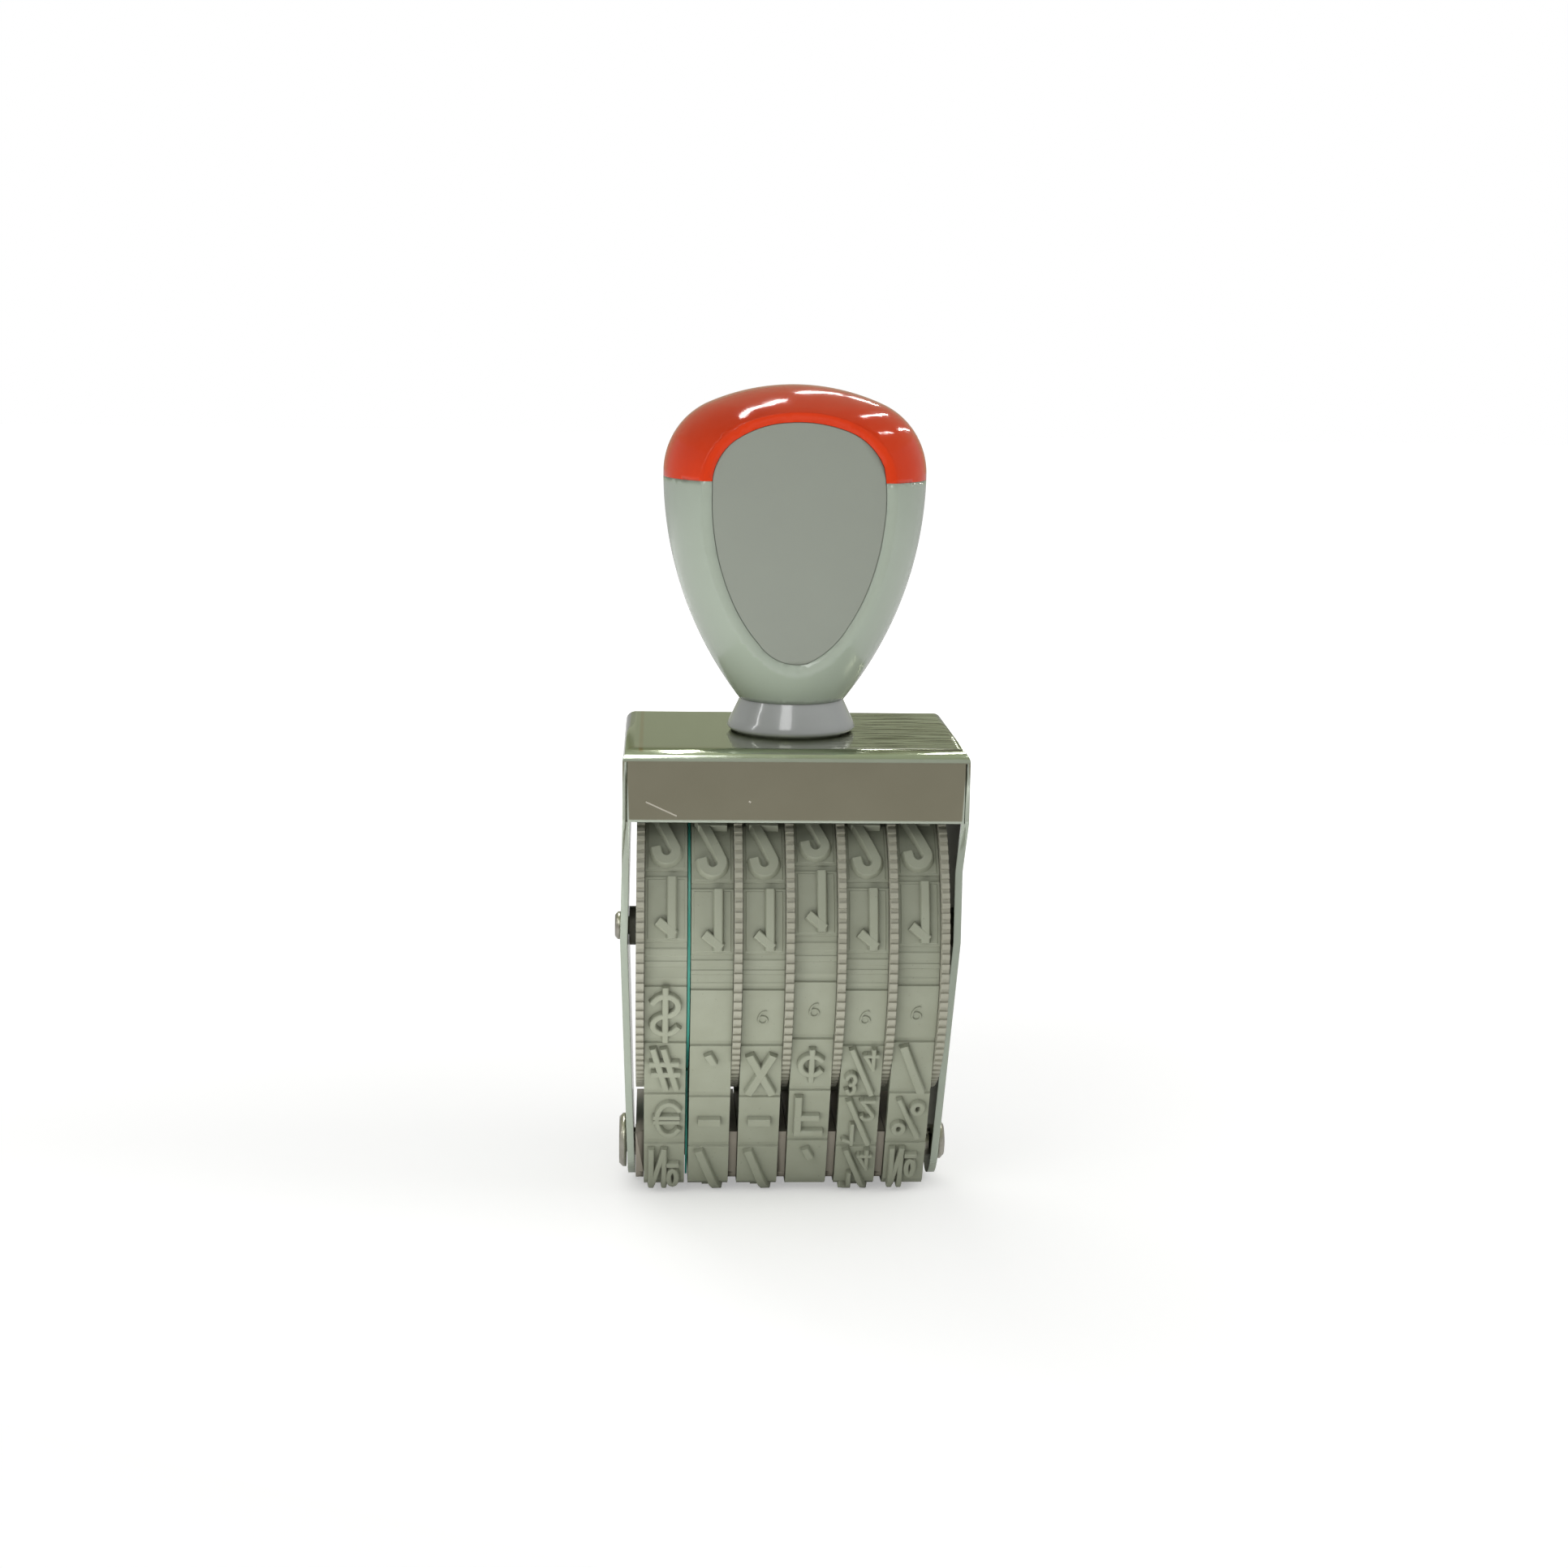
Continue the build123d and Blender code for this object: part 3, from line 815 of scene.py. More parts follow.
@dataclass(frozen=True)
class ThumbWheel:
    """Thumb wheel: hub, web, grip drum and finely ribbed rim. Sizes are millimetres."""

    lane: Lane
    rim_start: float = 6.67
    width: float = 7.95
    rim_radius: float = 26.4
    rib_depth: float = 0.36
    rib_count: int = 104
    rib_width: float = 0.85
    drum_radius: float = 21.9
    drum_wall: float = 2.0
    grip_count: int = 36
    grip_width: float = 1.2
    grip_height: float = 0.5
    hub_radius: float = 6.0
    bore_radius: float = 2.55
    recess: float = 2.1
    rib_root: float = 0.02

    def outline(self) -> list[Point]:
        """Outline of the turned part.

        Returns:
            (X, radius) points, in millimetres from the hub's middle.
        """
        inner = self.drum_radius - self.drum_wall
        far = self.width - self.recess
        crest = self.rim_radius - self.rib_depth
        steps = [
            (0.0, self.bore_radius), (0.0, self.hub_radius), (self.recess, self.hub_radius),
            (self.recess, inner), (0.0, inner), (0.0, self.drum_radius),
            (self.rim_start, self.drum_radius), (self.rim_start, crest), (self.width, crest),
            (self.width, inner), (far, inner), (far, self.hub_radius),
            (self.width, self.hub_radius), (self.width, self.bore_radius),
        ]
        return [(self.lane.side * (x - self.width / 2), radius) for x, radius in steps]

    def build(self, ribs: RibRing) -> None:
        """Builds the wheel, which stands for its CAD node.

        Args:
            ribs: The tree that makes a ring of ribs.
        """
        number = self.lane.number
        hub = (self.lane.wheel[0] + self.lane.wheel[1]) / 2
        finish = Finishes.WHEEL.value
        shape = ring_of(self.outline(), self.rib_count, hub)
        mesh = to_mesh(f"thumbwheel_{number}_ribbed", shape)
        rings = (
            (self.rib_count, self.width - self.rim_start, self.rib_width, self.rib_depth,
             self.rim_start / 2, self.rim_radius - self.rib_depth),
            (self.grip_count, self.rim_start, self.grip_width, self.grip_height,
             (self.rim_start - self.width) / 2, self.drum_radius),
        )
        for count, length, width, height, along, foot in rings:
            size = (length * MM, width * MM, (height + self.rib_root) * MM)
            middle = foot + (height - self.rib_root) / 2
            mesh = ribs.applied(mesh, {
                "Count": count, "Rib size": size, "Hub": tuple(hub), "Finish": finish.material(),
                "Rib place": (self.lane.side * along * MM, 0.0, middle * MM),
            })
        piece = to_object(f"thumbwheel_{number}_ribbed", mesh, finish, f"wheel_{number}")
        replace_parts(piece, f"thumbwheel_{number}")


@dataclass(frozen=True)
class BeltPath:
    """Path of a band round its wheel and its shoe. Sizes are millimetres."""

    hub_height: float
    wheel_radius: float = 22.7
    nose_offset: float = 5.0
    nose_height: float = 4.8
    nose_radius: float = 2.0
    face: float = 1.85

    def reach(self) -> float:
        """Distance between the centres of the wheel and the nose."""
        return math.hypot(self.nose_offset, self.hub_height - self.nose_height)

    def slope(self) -> float:
        """Angle between the vertical and the straight run, in radians."""
        lean = math.asin(self.nose_offset / self.reach())
        return math.asin((self.wheel_radius - self.nose_radius) / self.reach()) - lean

    def stretches(self) -> tuple[float, float, float, float]:
        """Measures half of the path on the band's face.

        Returns:
            Lengths of its flat, nose, straight and wheel stretches.
        """
        straight = math.sqrt(self.reach()**2 - (self.wheel_radius - self.nose_radius) ** 2)
        nose = (self.nose_radius + self.face) * (math.pi / 2 - self.slope())
        wheel = (self.wheel_radius + self.face) * (math.pi / 2 + self.slope())
        return self.nose_offset, nose, straight, wheel

    def half_length(self) -> float:
        """Length of half the path, on the face."""
        return sum(self.stretches())

    def at(self, distance: float, lift: float) -> Point:
        """Place on the path.

        Args:
            distance: Distance along the face from the bottom middle, positive up the front.
            lift: Height over the band's inner side.

        Returns:
            Y and Z.
        """
        half = self.half_length()
        distance = (distance + half) % (2 * half) - half
        side = -1.0 if distance >= 0 else 1.0
        left = abs(distance)
        flat, nose, straight, _ = self.stretches()
        slope = self.slope()
        radius = self.nose_radius + lift
        if left <= flat:
            return side * left, self.nose_height - radius
        left -= flat
        if left <= nose:
            angle = left / (self.nose_radius + self.face) - math.pi / 2
            y = self.nose_offset + radius * math.cos(angle)
            return side * y, self.nose_height + radius * math.sin(angle)
        left -= nose
        if left <= straight:
            y = self.nose_offset + radius * math.cos(slope) + left * math.sin(slope)
            return side * y, self.nose_height - radius * math.sin(slope) + left * math.cos(slope)
        angle = (left - straight) / (self.wheel_radius + self.face) - slope
        radius = self.wheel_radius + lift
        return side * radius * math.cos(angle), self.hub_height + radius * math.sin(angle)


@dataclass(frozen=True)
class Stroke:
    """One stroke of a sign, in shares of the sign's width and height."""

    points: tuple[Point, ...]
    closed: bool = False
    weight: float = 1.0

    def fitted(self, low: Point, high: Point, weight: float) -> "Stroke":
        """Squeezes the stroke into a part of the sign's box.

        Args:
            low: The part's lower left corner.
            high: Its upper right corner.
            weight: What the stroke's weight is multiplied by.

        Returns:
            The squeezed stroke.
        """
        wide, tall = high[0] - low[0], high[1] - low[1]
        points = tuple((low[0] + x * wide, low[1] + y * tall) for x, y in self.points)
        return Stroke(points, self.closed, self.weight * weight)


def bend(
    centre: Point, radii: Point, start: float, end: float, steps: int = 10,
) -> tuple[Point, ...]:
    """Points of an arc.

    Args:
        centre: Its centre.
        radii: Its half width and half height.
        start: Where it starts, in degrees from the right.
        end: Where it ends; less than the start turns it clockwise.
        steps: Number of steps between the two.

    Returns:
        The points.
    """
    angles = [math.radians(start + (end - start) * n / steps) for n in range(steps + 1)]
    return tuple(
        (centre[0] + radii[0] * math.cos(a), centre[1] + radii[1] * math.sin(a)) for a in angles
    )


def ring(centre: Point, radii: Point) -> Stroke:
    """A closed oval stroke."""
    return Stroke(bend(centre, radii, 0.0, 330.0, 11), True)


def line(*points: Point) -> Stroke:
    """A stroke of straight runs."""
    return Stroke(points)


FIGURES: dict[str, tuple[Stroke, ...]] = {
    "0": (Stroke(bend((0.5, 0.7), (0.5, 0.3), 0, 180) + bend((0.5, 0.3), (0.5, 0.3), 180, 360),
                 True),),
    "1": (line((1, 0), (1, 1)), line((1, 0.97), (0.08, 0.81))),
    "2": (Stroke(bend((0.5, 0.82), (0.5, 0.18), 175, -35, 12) + ((0, 0),)), line((0, 0), (1, 0))),
    "3": (Stroke(bend((0.5, 0.75), (0.46, 0.25), 160, -90)),
          Stroke(bend((0.5, 0.26), (0.5, 0.26), 90, -160))),
    "4": (line((0.72, 0), (0.72, 1)), line((0.72, 1), (0, 0.3)), line((0, 0.3), (1, 0.3))),
    "5": (line((0.9, 1), (0.12, 1)), line((0.12, 1), (0.06, 0.5)),
          Stroke(bend((0.46, 0.32), (0.54, 0.32), 140, -150))),
    "6": (ring((0.5, 0.3), (0.5, 0.3)), Stroke(bend((0.8, 0.3), (0.8, 0.7), 180, 90))),
    "7": (line((0, 1), (1, 1)), line((1, 1), (0.3, 0))),
    "8": (ring((0.5, 0.77), (0.42, 0.23)), ring((0.5, 0.27), (0.5, 0.27))),
    "9": (ring((0.5, 0.7), (0.5, 0.3)), Stroke(bend((0.2, 0.7), (0.8, 0.7), 0, -90))),
}


def fraction(upper: str, lower: str) -> tuple[Stroke, ...]:
    """Strokes of a fraction: two small figures and a bar between them.

    Args:
        upper: The figure over the bar.
        lower: The figure under it.

    Returns:
        The strokes.
    """
    first = [stroke.fitted((0.0, 0.56), (0.3, 1.0), 0.75) for stroke in FIGURES[upper]]
    second = [stroke.fitted((0.6, 0.0), (1.0, 0.42), 0.75) for stroke in FIGURES[lower]]
    return (*first, line((0.12, 0.0), (0.88, 1.0)), *second)


@dataclass(frozen=True)
class Sign:
    """A raised figure or sign. Sizes are millimetres."""

    strokes: tuple[Stroke, ...]
    width: float
    height: float
    weight: float
    across: float = 0.0
    along: float = 0.0
    rise: float = 0.95
    draft: float = 0.16


def figure(digit: str) -> Sign:
    """Sign of a tall counting figure, of which the one is the narrowest.

    Args:
        digit: The figure.

    Returns:
        The sign.
    """
    if digit == "1":
        return Sign(FIGURES["1"], 3.1, 9.4, 1.35, along=-0.2, draft=0.22)
    return Sign(FIGURES[digit], 4.6, 10.3, 1.6, along=-0.75, draft=0.35)


DASH = Sign((line((0, 0), (1, 0)),), 3.6, 1.5, 1.5)
DOT = Sign((line((0, 0), (1, 0)),), 1.8, 1.7, 1.7, along=-3.0)
COMMA = Sign((line((0.1, 0), (1, 1)),), 1.8, 2.3, 1.25, along=-2.6)
SLASH = Sign((line((0, 0), (1, 1)),), 4.3, 10.0, 1.35, along=0.3)
CROSS = Sign((line((0, 0), (1, 1)), line((0, 1), (1, 0))), 4.6, 8.4, 1.3, along=0.6)
HASH = Sign(
    (line((0.04, 0), (0.52, 1)), line((0.46, 0), (0.94, 1)), line((0, 0.36), (0.94, 0.36)),
     line((0.08, 0.64), (1, 0.64))),
    5.0, 8.8, 1.0,
)
DOLLAR = Sign(
    (Stroke(bend((0.5, 0.68), (0.5, 0.19), 25, 270) + bend((0.5, 0.3), (0.5, 0.19), 90, -155)[1:]),
     line((0.5, 0), (0.5, 1))),
    5.0, 10.2, 0.95,
)
EURO = Sign(
    (Stroke(bend((0.56, 0.5), (0.5, 0.5), 40, 320, 16)), line((0.0, 0.57), (0.9, 0.57)),
     line((0.0, 0.43), (0.9, 0.43))),
    4.7, 7.6, 0.78, across=0.5,
)
CENT = Sign(
    (Stroke(bend((0.5, 0.5), (0.5, 0.32), 40, 320, 16)), line((0.5, 0), (0.5, 1))), 4.5, 7.0, 0.9,
)
FRANC = Sign(
    (line((0, 0), (0, 1)), line((0, 1), (1, 1)), line((0, 0.55), (0.8, 0.55))), 4.7, 8.5, 1.15,
)
PERCENT = Sign(
    (line((0.12, 0), (0.88, 1)), ring((0.16, 0.78), (0.19, 0.13)),
     ring((0.84, 0.22), (0.19, 0.13))),
    5.0, 8.6, 0.8,
)
NUMBER = Sign(
    (line((0, 0), (0, 1)), line((0, 1), (0.5, 0)), line((0.5, 0), (0.5, 1)),
     ring((0.84, 0.74), (0.16, 0.2)), line((0.7, 0.4), (0.98, 0.4))),
    5.0, 9.0, 0.85,
)
NUMBER_NARROW = Sign(
    (line((0, 0), (0, 1)), line((0, 1), (0.42, 0)), line((0.42, 0), (0.42, 1)),
     ring((0.84, 0.5), (0.16, 0.2)), line((0.68, 0.17), (1, 0.17))),
    4.5, 9.0, 0.85, across=-0.3,
)
QUARTER = Sign(fraction("1", "4"), 5.2, 9.8, 0.9)
HALF = Sign(fraction("1", "2"), 5.2, 9.8, 0.9)
THREE_QUARTERS = Sign(fraction("3", "4"), 5.2, 9.8, 0.9)
SIZE_MARK = Sign(
    (ring((0.5, 0.7), (0.5, 0.3)), Stroke(bend((0.8, 0.7), (0.8, 0.7), 180, 270))),
    1.7, 2.7, 0.3, rise=0.24, draft=0.04,
)
BLANK = None


@dataclass(frozen=True)
class Cell:
    """One cell of a band, between two distances along it, with what is raised on it."""

    start: float
    end: float
    sign: Sign | None
    figure: bool


@dataclass(frozen=True)
class SignMaker:
    """Makes raised signs as small solids that lie on a band. Sizes are millimetres."""

    path: BeltPath
    bevel: float = 0.14
    bevel_share: float = 0.4
    step: float = 1.2
    root: float = 0.12
    layer: float = 0.004
    sharpest: float = 0.45

    def run(self, stroke: Stroke, sign: Sign) -> list[Vector]:
        """Middle line of a stroke, in short steps.

        Args:
            stroke: The stroke.
            sign: The sign that it belongs to.

        Returns:
            Its points, centred on the sign.
        """
        weight = sign.weight * stroke.weight
        wide, tall = sign.width - weight, sign.height - weight
        corners = [Vector(((x - 0.5) * wide, (y - 0.5) * tall)) for x, y in stroke.points]
        if not stroke.closed:
            corners[0] += (corners[0] - corners[1]).normalized() * weight / 2
            corners[-1] += (corners[-1] - corners[-2]).normalized() * weight / 2
        found = []
        ends = corners[1:] + (corners[:1] if stroke.closed else [])
        for here, there in zip(corners, ends):
            count = max(1, round((there - here).length / self.step))
            found += [here.lerp(there, n / count) for n in range(count)]
        return found if stroke.closed else found + [corners[-1]]

    def sides(self, points: list[Vector], closed: bool) -> list[Vector]:
        """Sideways direction at each point of a run, longer at its corners.

        Args:
            points: The run's points.
            closed: Whether the last point meets the first one.

        Returns:
            The directions, at unit length where the run is straight.
        """
        runs = zip(points, points[1:] + points[:1])
        ahead = [(there - here).normalized() for here, there in runs]
        behind = ahead[-1:] + ahead[:-1]
        if not closed:
            ahead[-1], behind[0] = behind[-1], ahead[0]
        found = []
        for first, second in zip(behind, ahead):
            along = (first + second).normalized()
            side = Vector((-along.y, along.x))
            found.append(side / max(self.sharpest, side.dot(Vector((-second.y, second.x)))))
        return found

    def lay(self, target: bmesh.types.BMesh, cell: Cell, middle: float) -> None:
        """Lays a cell's sign on a band, head down as type is, and adds it to a bmesh.

        Args:
            target: What the sign is added to.
            cell: The cell.
            middle: X of the band's middle, in millimetres.
        """
        sign = cell.sign
        across, along = middle + sign.across, (cell.start + cell.end) / 2 - sign.along
        bevel = min(self.bevel, sign.rise * self.bevel_share)
        for number, stroke in enumerate(sign.strokes):
            half = sign.weight * stroke.weight / 2
            top = sign.rise + number * self.layer
            profile = [
                (-half - sign.draft, -self.root), (-half, top - bevel), (-half + bevel, top),
                (half - bevel, top), (half, top - bevel), (half + sign.draft, -self.root),
            ]
            rows = []
            points = self.run(stroke, sign)
            for point, side in zip(points, self.sides(points, stroke.closed)):
                row = []
                for off, lift in profile:
                    x, up = point + side * off
                    y, z = self.path.at(along - up, self.path.face + lift)
                    row.append(target.verts.new(Vector((across + x, y, z)) * MM))
                rows.append(row)
            skin(target, rows, stroke.closed)


@dataclass(frozen=True)
class NumberBand:
    """Rubber band with its cells, splices and raised type. Sizes are millimetres."""

    lane: Lane
    path: BeltPath
    signs: tuple[Sign | None, ...]
    advance: float
    turn: float
    width: float = 6.6
    play: float = 0.01
    symbol_pitch: float = 10.9
    digit_pitch: float = 11.25
    splice: float = 3.7
    splice_ribs: tuple[Point, ...] = (
        (0.1, 0.0), (0.14, 0.1), (0.18, 0.1), (0.22, 0.0), (0.46, 0.0), (0.48, 0.2),
        (0.6, 0.2), (0.62, 0.08), (0.72, 0.08), (0.74, 0.16), (0.9, 0.16), (0.94, 0.0),
    )
    groove: float = 0.8
    floor: float = 1.5
    ledge: float = 1.77
    ledge_length: float = 0.35
    wall: float = 0.14
    pad_margin: float = 0.4
    pad_slope: float = 0.1
    step: float = 1.6

    def cells(self) -> list[Cell]:
        """Shares the band out.

        Returns:
            Its cells, from the printing cell up the front and round.
        """
        pitch = self.symbol_pitch
        found = [
            Cell((n - 0.5) * pitch + self.turn, (n + 0.5) * pitch + self.turn, sign, False)
            for n, sign in enumerate(self.signs)
        ]
        start = found[-1].end + self.splice + self.advance
        for n in range(10):
            place = start + n * self.digit_pitch
            found.append(Cell(place, place + self.digit_pitch, figure(str((n + 1) % 10)), True))
        return found

    def stations(self) -> list[Place]:
        """Measures the band's heights along its length.

        Returns:
            (distance, height at the sides, height of the middle pad) all along the band.
        """
        found: list[Place] = []
        for cell in self.cells():
            if cell.figure and cell.start - found[-1][0] > self.splice:
                found += self.splice_stations(found[-1][0], cell.start)
            low, high = cell.start + self.groove / 2, cell.end - self.groove / 2
            side = self.ledge if cell.figure else self.path.face
            inset = self.wall + (self.ledge_length if cell.figure else 0.0)
            run = high - low - 2 * (inset + self.pad_slope)
            count = max(2, round(run / self.step))
            start = low + inset + self.pad_slope
            found += [(low, self.floor, self.floor), (low + self.wall, side, side)]
            found += [(low + inset, side, side)] if cell.figure else []
            found += [(start + run * n / count, side, self.path.face) for n in range(count + 1)]
            found += [(high - inset, side, side)] if cell.figure else []
            found += [(high - self.wall, side, side), (high, self.floor, self.floor)]
        end = found[0][0] + 2 * self.path.half_length()
        return found + self.splice_stations(found[-1][0], end)

    def splice_stations(self, start: float, end: float) -> list[Place]:
        """Measures a plain stretch between the figures and the signs, with its cross ribs.

        Args:
            start: Distance that it starts at.
            end: Distance that it ends at.

        Returns:
            Stations like those of the cells.
        """
        spots = [(start + share * (end - start), self.floor + up) for share, up in self.splice_ribs]
        return [(distance, height, height) for distance, height in spots]

    def loop_mesh(self) -> bpy.types.Mesh:
        """Makes the loop without its type.

        Returns:
            The mesh.
        """
        low, high = sorted((self.lane.across(self.play), self.lane.across(self.play + self.width)))
        pad_low, pad_high = low + self.pad_margin, high - self.pad_margin
        shape = bmesh.new()
        rows = []
        for distance, side, pad in self.stations():
            points = [
                (low, 0.0), (low, side), (pad_low, side), (pad_low + self.pad_slope, pad),
                (pad_high - self.pad_slope, pad), (pad_high, side), (high, side), (high, 0.0),
            ]
            spots = [Vector((x, *self.path.at(distance, lift))) * MM for x, lift in points]
            rows.append([shape.verts.new(spot) for spot in spots])
        skin(shape, rows)
        return to_mesh(f"band_{self.lane.number}_loop", shape, 20.0)

    def build(self, maker: SignMaker) -> None:
        """Builds the loop and its type.

        Args:
            maker: What makes the raised signs.
        """
        finish = Finishes.RUBBER.value
        number = self.lane.number
        loop = to_object(f"band_{number}_loop", self.loop_mesh(), finish, STAMP)
        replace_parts(loop, f"band_{number}")
        middle = self.lane.across(self.play + self.width / 2)
        shape = bmesh.new()
        for cell in self.cells():
            if cell.sign is not None:
                maker.lay(shape, cell, middle)
        mesh = to_mesh(f"band_{number}_type", shape, 25.0)
        to_object(f"band_{number}_type", mesh, finish, STAMP)


@dataclass(frozen=True)
class BandPack:
    """All bands and wheels of the stamp: each band's shift, turn and signs, from the left."""

    bands: tuple[tuple[float, float, tuple[Sign | None, ...]], ...] = (
        (2.5, 0.6, (DASH, NUMBER, EURO, HASH, DOLLAR)),
        (1.15, 0.0, (DOT, SLASH, DASH, COMMA, BLANK)),
        (1.2, 0.0, (DOT, SLASH, DASH, CROSS, SIZE_MARK)),
        (2.75, 1.4, (DASH, COMMA, FRANC, CENT, SIZE_MARK)),
        (1.4, 0.0, (DOT, QUARTER, HALF, THREE_QUARTERS, SIZE_MARK)),
        (1.7, 0.8, (DASH, NUMBER_NARROW, PERCENT, SLASH, SIZE_MARK)),
    )

    def build(self) -> None:
        """Builds every wheel and band."""
        ribs = RibRing()
        low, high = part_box("wheel_axle")
        path = BeltPath((low.z + high.z) / 2 / MM)
        for number, (shift, turn, signs) in enumerate(self.bands, 1):
            lane = Lane(number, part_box(f"thumbwheel_{number}"))
            ThumbWheel(lane).build(ribs)
            NumberBand(lane, path, signs, shift, turn).build(SignMaker(path))


@dataclass(frozen=True)
class SeparatorTongue:
    """Sheet that goes on down from the separator disc, forked over the bar. Millimetres."""

    thickness: float = 0.3
    half_depth: float = 9.2
    foot_half: float = 6.2
    shoulder: float = 9.0
    top: float = 21.4
    foot: float = 2.7
    fork_half: float = 3.7
    fork_top: float = 8.6

    def build(self) -> None:
        """Builds the tongue."""
        low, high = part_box("separator_disc")
        middle = (low.x + high.x) / 2 / MM
        right = [
            (self.fork_half, self.fork_top), (self.fork_half, self.foot),
            (self.foot_half, self.foot), (self.half_depth, self.shoulder),
            (self.half_depth, self.top),
        ]
        outline = right + [(-y, z) for y, z in reversed(right)]
        shape = bmesh.new()
        rows = [
            [shape.verts.new(Vector((middle + off, y, z)) * MM) for y, z in outline]
            for off in (-self.thickness / 2, self.thickness / 2)
        ]
        skin(shape, rows, False)
        mesh = to_mesh("separator_tongue", shape)
        to_object("separator_tongue", mesh, Finishes.TEAL.value, STAMP)


@dataclass(frozen=True)
class CadPieces:
    """CAD nodes whose shape is right, with the finish of each."""

    merging: float = 0.0005
    nodes: dict[str, Finishes] = field(default_factory=lambda: {
        "frame": Finishes.CHROME,
        "wheel_axle": Finishes.STEEL,
        "platen_bar": Finishes.STEEL,
        "axle_spacer_left": Finishes.SPACER,
        "axle_spacer_right": Finishes.SPACER,
        "separator_disc": Finishes.TEAL,
        "handle_collar": Finishes.COLLAR,
        "handle_body": Finishes.GREY_GRIP,
        "handle_cap": Finishes.RED_CAP,
        "front_badge": Finishes.BADGE,
        "rear_badge": Finishes.BADGE,
        "handle_screw": Finishes.STEEL,
        "screw_washer": Finishes.STEEL,
        **{f"platen_shoe_{number}": Finishes.SHOE for number in range(1, LANES + 1)},
    })

    def build(self) -> None:
        """Stands in for every node with a copy whose points are joined, so it shades smooth."""
        for node, finish in self.nodes.items():
            shape = bmesh.new()
            shape.from_mesh(bpy.data.objects[node].data)
            bmesh.ops.remove_doubles(shape, verts=shape.verts, dist=self.merging * MM)
            mesh = to_mesh(f"{node}_finished", shape)
            even = modified(mesh, "WEIGHTED_NORMAL", {"keep_sharp": True, "weight": 100}, {})
            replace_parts(to_object(f"{node}_finished", even, finish.value, STAMP), node)


# ---------------------------------------------------------------- studio


def area_lamp(name: str, size: Point, power: float, mirrored: bool) -> bpy.types.Object:
    """Adds a soft rectangular lamp that the camera doesn't see.

    Args:
        name: Its name.
        size: Its width and length, in metres.
        power: Its power, in watts.
        mirrored: Whether it only shows in glossy surfaces; else it only lights matt ones.

    Returns:
        The lamp, pointing down.
    """
    light = bpy.data.lights.new(name, "AREA")
    light.shape = "RECTANGLE"
    light.size, light.size_y = size
    light.energy = power
    lamp = linked(name, light)
    lamp.visible_camera = False
    lamp.visible_diffuse = not mirrored
    lamp.visible_glossy = mirrored
    return lamp


@dataclass(frozen=True)
class Lamp:
    """A lamp that is aimed at a point. Places are metres."""

    name: str
    place: Place
    target: Place
    size: Point
    power: float
    mirrored: bool = False

    def build(self) -> None:
        """Adds the lamp."""
        lamp = area_lamp(self.name, self.size, self.power, self.mirrored)
        lamp.location = self.place
        aim = Vector(self.target) - Vector(self.place)
        lamp.rotation_euler = aim.to_track_quat("-Z", "Y").to_euler()


@dataclass(frozen=True)
class CeilingTube:
    """A long tube lamp under the ceiling, from one (X, Y) point to another, in metres."""

    start: Point
    end: Point
    height: float = 0.63
    width: float = 0.018
    brightness: float = 40.0

    def build(self) -> None:
        """Adds the tube, which shows in glossy surfaces only."""
        start, end = Vector((*self.start, self.height)), Vector((*self.end, self.height))
        run = end - start
        power = self.brightness * math.pi * self.width * run.length
        lamp = area_lamp("ceiling_tube", (self.width, run.length), power, True)
        lamp.location = start + run / 2
        lamp.rotation_euler = (0.0, 0.0, math.atan2(run.y, run.x) - math.pi / 2)


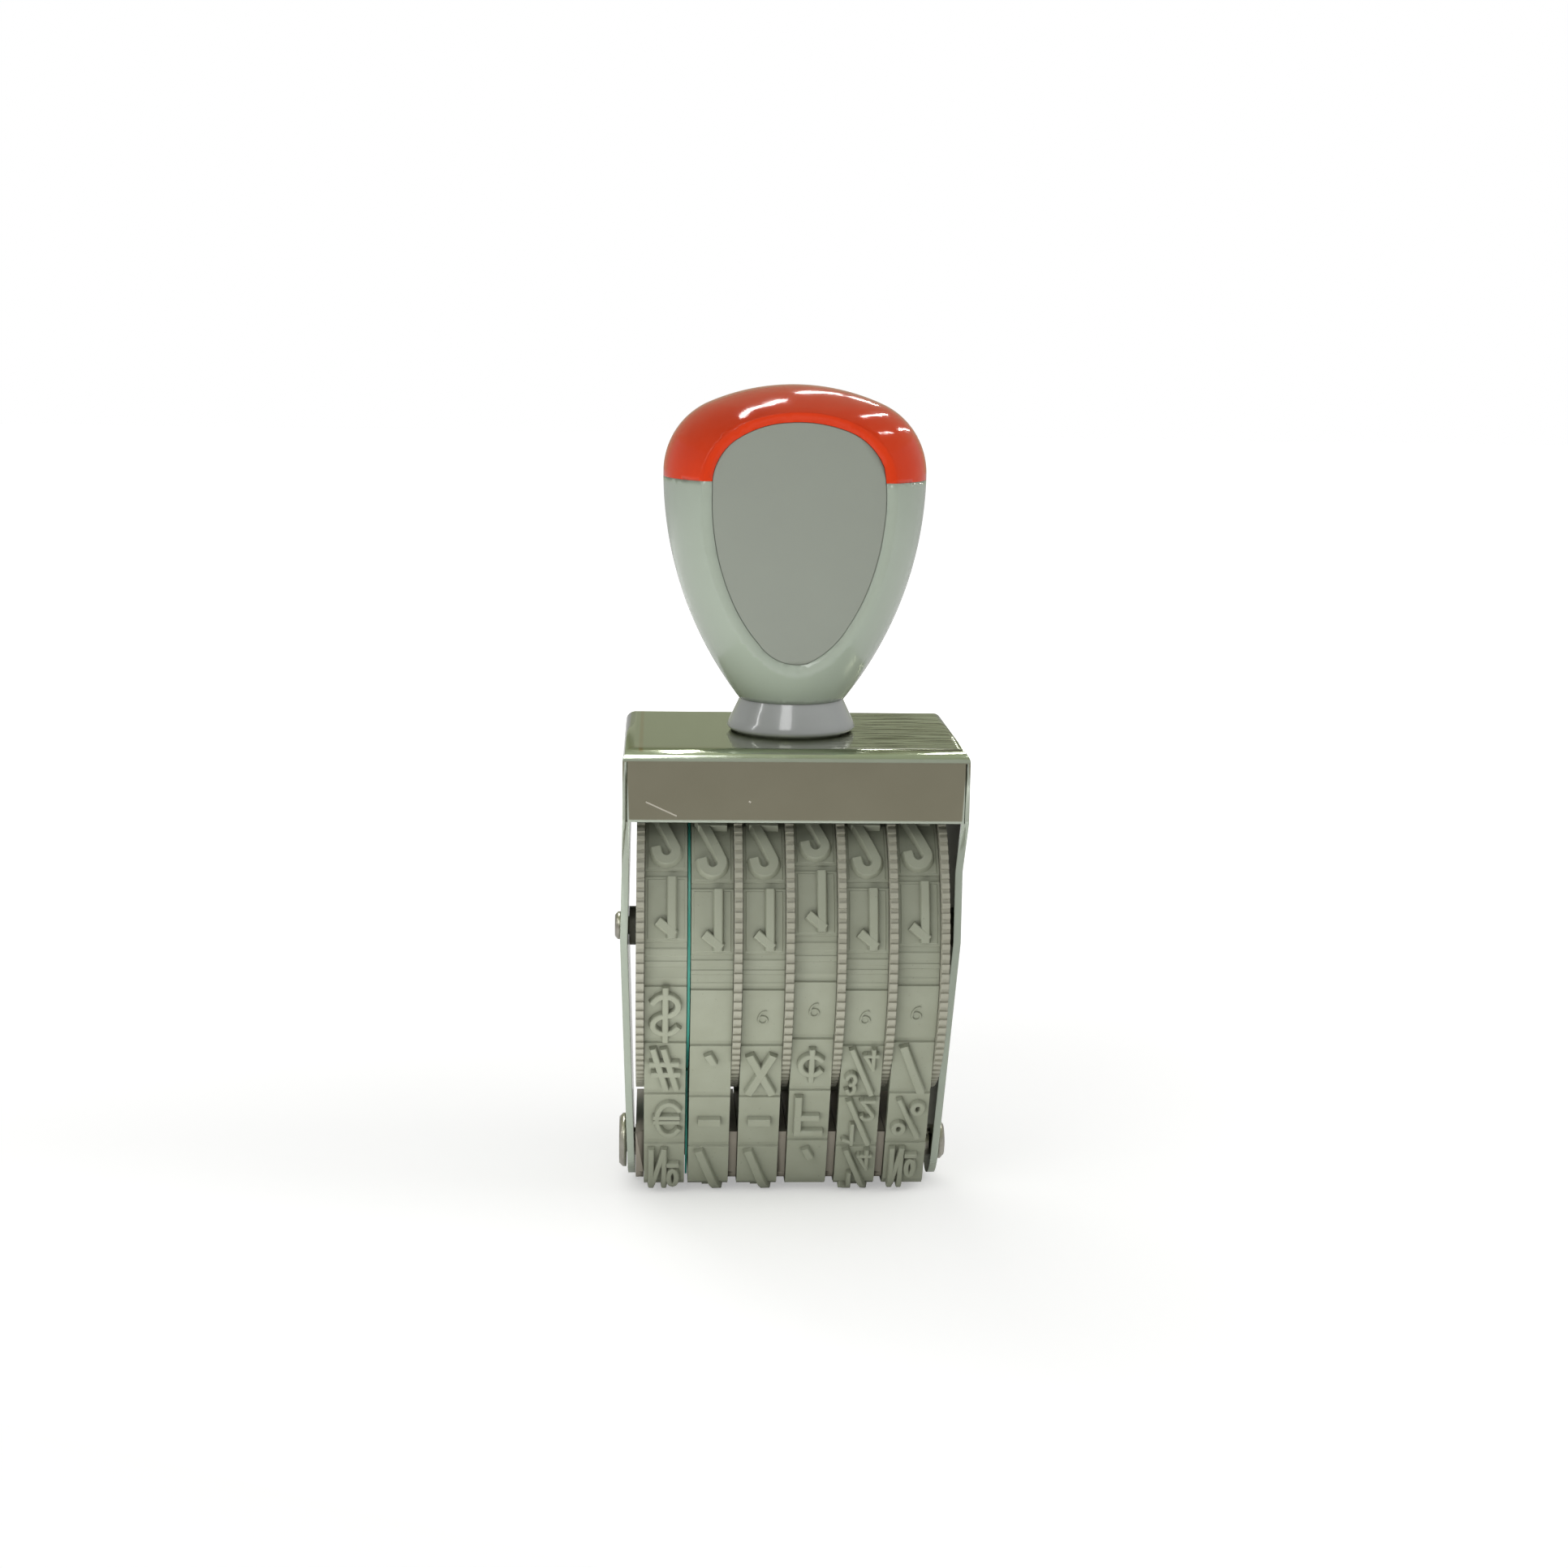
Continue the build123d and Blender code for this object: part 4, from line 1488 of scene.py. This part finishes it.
@dataclass(frozen=True)
class Studio:
    """Pale floor, soft light and the camera. Sizes are metres and angles radians."""

    camera_place: Place = (-0.0216, -0.3893, 0.1398)
    yaw: float = 0.053
    pitch: float = -0.184
    roll: float = 0.016
    lens: float = 55.66
    sensor: float = 36.0
    ambient: float = 0.55
    floor_half: float = 3.0
    room_half: float = 1.4
    room_front: float = -1.1
    room_back: float = 2.3
    room_top: float = 0.7
    lamps: tuple[Lamp, ...] = (
        Lamp("key_lamp", (-0.4, -0.5, 0.5), (0.0, 0.0, 0.08), (0.4, 0.3), 0.65),
        Lamp("fill_lamp", (0.5, -0.1, 0.3), (0.0, 0.0, 0.08), (0.3, 0.3), 0.75),
        Lamp("floor_lamp", (-0.07, -0.12, 0.002), (-0.07, -0.12, 1.0), (0.2, 0.18), 0.14),
        Lamp("low_lamp", (-0.06, -0.12, 0.02), (0.0, 0.0, 0.05), (0.2, 0.035), 0.06),
        Lamp("back_lamp", (-0.2, 0.6, 0.35), (0.0, 0.0, 0.05), (0.4, 0.3), 1.2),
        Lamp("window", (-0.1, -0.4, 0.38), (0.0, 0.0, 0.08), (0.17, 0.25), 0.6, True),
        Lamp("side_strip", (-0.36, -0.09, 0.28), (0.0, 0.0, 0.08), (0.025, 0.3), 0.2, True),
    )
    tubes: tuple[CeilingTube, ...] = (
        CeilingTube((-0.235, 0.19), (-0.008, 0.55), width=0.032),
        CeilingTube((0.05, 0.81), (0.21, 1.2)),
        CeilingTube((0.245, 1.23), (0.385, 1.55)),
        CeilingTube((0.305, 0.3), (0.465, 0.91)),
        CeilingTube((0.56, 0.17), (0.7, 0.46)),
        CeilingTube((0.71, 0.72), (1.0, 2.0)),
    )

    def build_camera(self) -> None:
        """Adds the camera."""
        data = bpy.data.cameras.new("camera")
        data.lens = self.lens
        data.sensor_width = self.sensor
        data.clip_start = 0.01
        camera = linked("camera", data)
        level = math.cos(self.pitch)
        forward = Vector(
            (math.sin(self.yaw) * level, math.cos(self.yaw) * level, math.sin(self.pitch))
        )
        flat_right = Vector((math.cos(self.yaw), -math.sin(self.yaw), 0.0))
        flat_up = flat_right.cross(forward)
        right = flat_right * math.cos(self.roll) + flat_up * math.sin(self.roll)
        up = flat_up * math.cos(self.roll) - flat_right * math.sin(self.roll)
        turn = Matrix((right, up, -forward)).transposed().to_4x4()
        camera.matrix_world = Matrix.Translation(self.camera_place) @ turn
        bpy.context.scene.camera = camera

    def slab(
        self, name: str, low: Place, high: Place, finish: Finishes, mirrored: bool = True,
    ) -> None:
        """Adds a flat sheet that isn't part of the object.

        Args:
            name: Its name.
            low: Its lowest corner.
            high: Its highest corner, level with the lowest one on one axis.
            finish: Its finish.
            mirrored: Whether it shows in glossy surfaces only.
        """
        first, second = [axis for axis in range(3) if low[axis] != high[axis]]
        corners = [
            [high[axis] if axis in raised else low[axis] for axis in range(3)]
            for raised in ((), (first,), (first, second), (second,))
        ]
        mesh = bpy.data.meshes.new(name)
        mesh.from_pydata(corners, [], [(0, 1, 2, 3)])
        mesh.materials.append(finish.value.material())
        slab = linked(name, mesh)
        if mirrored:
            slab.visible_camera = False
            slab.visible_diffuse = False
            slab.visible_shadow = False
        slab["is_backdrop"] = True

    def build_slabs(self) -> None:
        """Adds the floor and the cards round the object."""
        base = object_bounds()[0].z
        low, wide, half = base + 0.002, self.floor_half, self.room_half
        near, far, top = self.room_front, self.room_back, self.room_top
        pale, olive = Finishes.PALE_CARD, Finishes.OLIVE_CARD
        self.slab("floor", (-wide, -wide, base), (wide, wide, base), Finishes.FLOOR, False)
        self.slab("low_card", (-0.5, near, low), (0.5, -0.2, low), Finishes.BROWN_CARD)
        self.slab("front_card", (-half, near, base), (half, near, top), pale)
        self.slab("back_card", (-half, far, base), (half, far, top), olive)
        self.slab("ceiling_card", (-half, near, top), (half, far, top), olive)
        self.slab("left_card", (-half, near, base), (-half, far, top), pale)
        self.slab("right_card", (half, near, base), (half, far, top), pale)

    def build_world(self) -> None:
        """White surroundings for what the camera and the metal see, and soft light for the rest."""
        world = bpy.data.worlds.new("surroundings")
        bpy.context.scene.world = world
        world.use_nodes = True
        tree = Tree(world.node_tree)
        ray = tree.outputs("ShaderNodeLightPath", {})
        seen = ray["Is Camera Ray"] + ray["Is Glossy Ray"] + ray["Is Transmission Ray"]
        strength = seen.rise(0.0, 1.0) * (1.0 - self.ambient) + self.ambient
        inputs = {"Color": WHITE, "Strength": strength}
        shade = tree.node("ShaderNodeBackground", {}, inputs)
        tree.node("ShaderNodeOutputWorld", {}, {"Surface": shade})

    def build(self) -> None:
        """Adds everything that isn't part of the object."""
        self.build_camera()
        self.build_world()
        for light in (*self.lamps, *self.tubes):
            light.build()
        self.build_slabs()
        bpy.context.scene.view_settings.view_transform = "Standard"


def main() -> None:
    """Builds the stamp's looks and its studio."""
    logging.basicConfig(level=logging.INFO, format="%(name)s %(message)s")
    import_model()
    Studio().build()
    CadPieces().build()
    BandPack().build()
    SeparatorTongue().build()


if __name__ == "__main__":
    main()
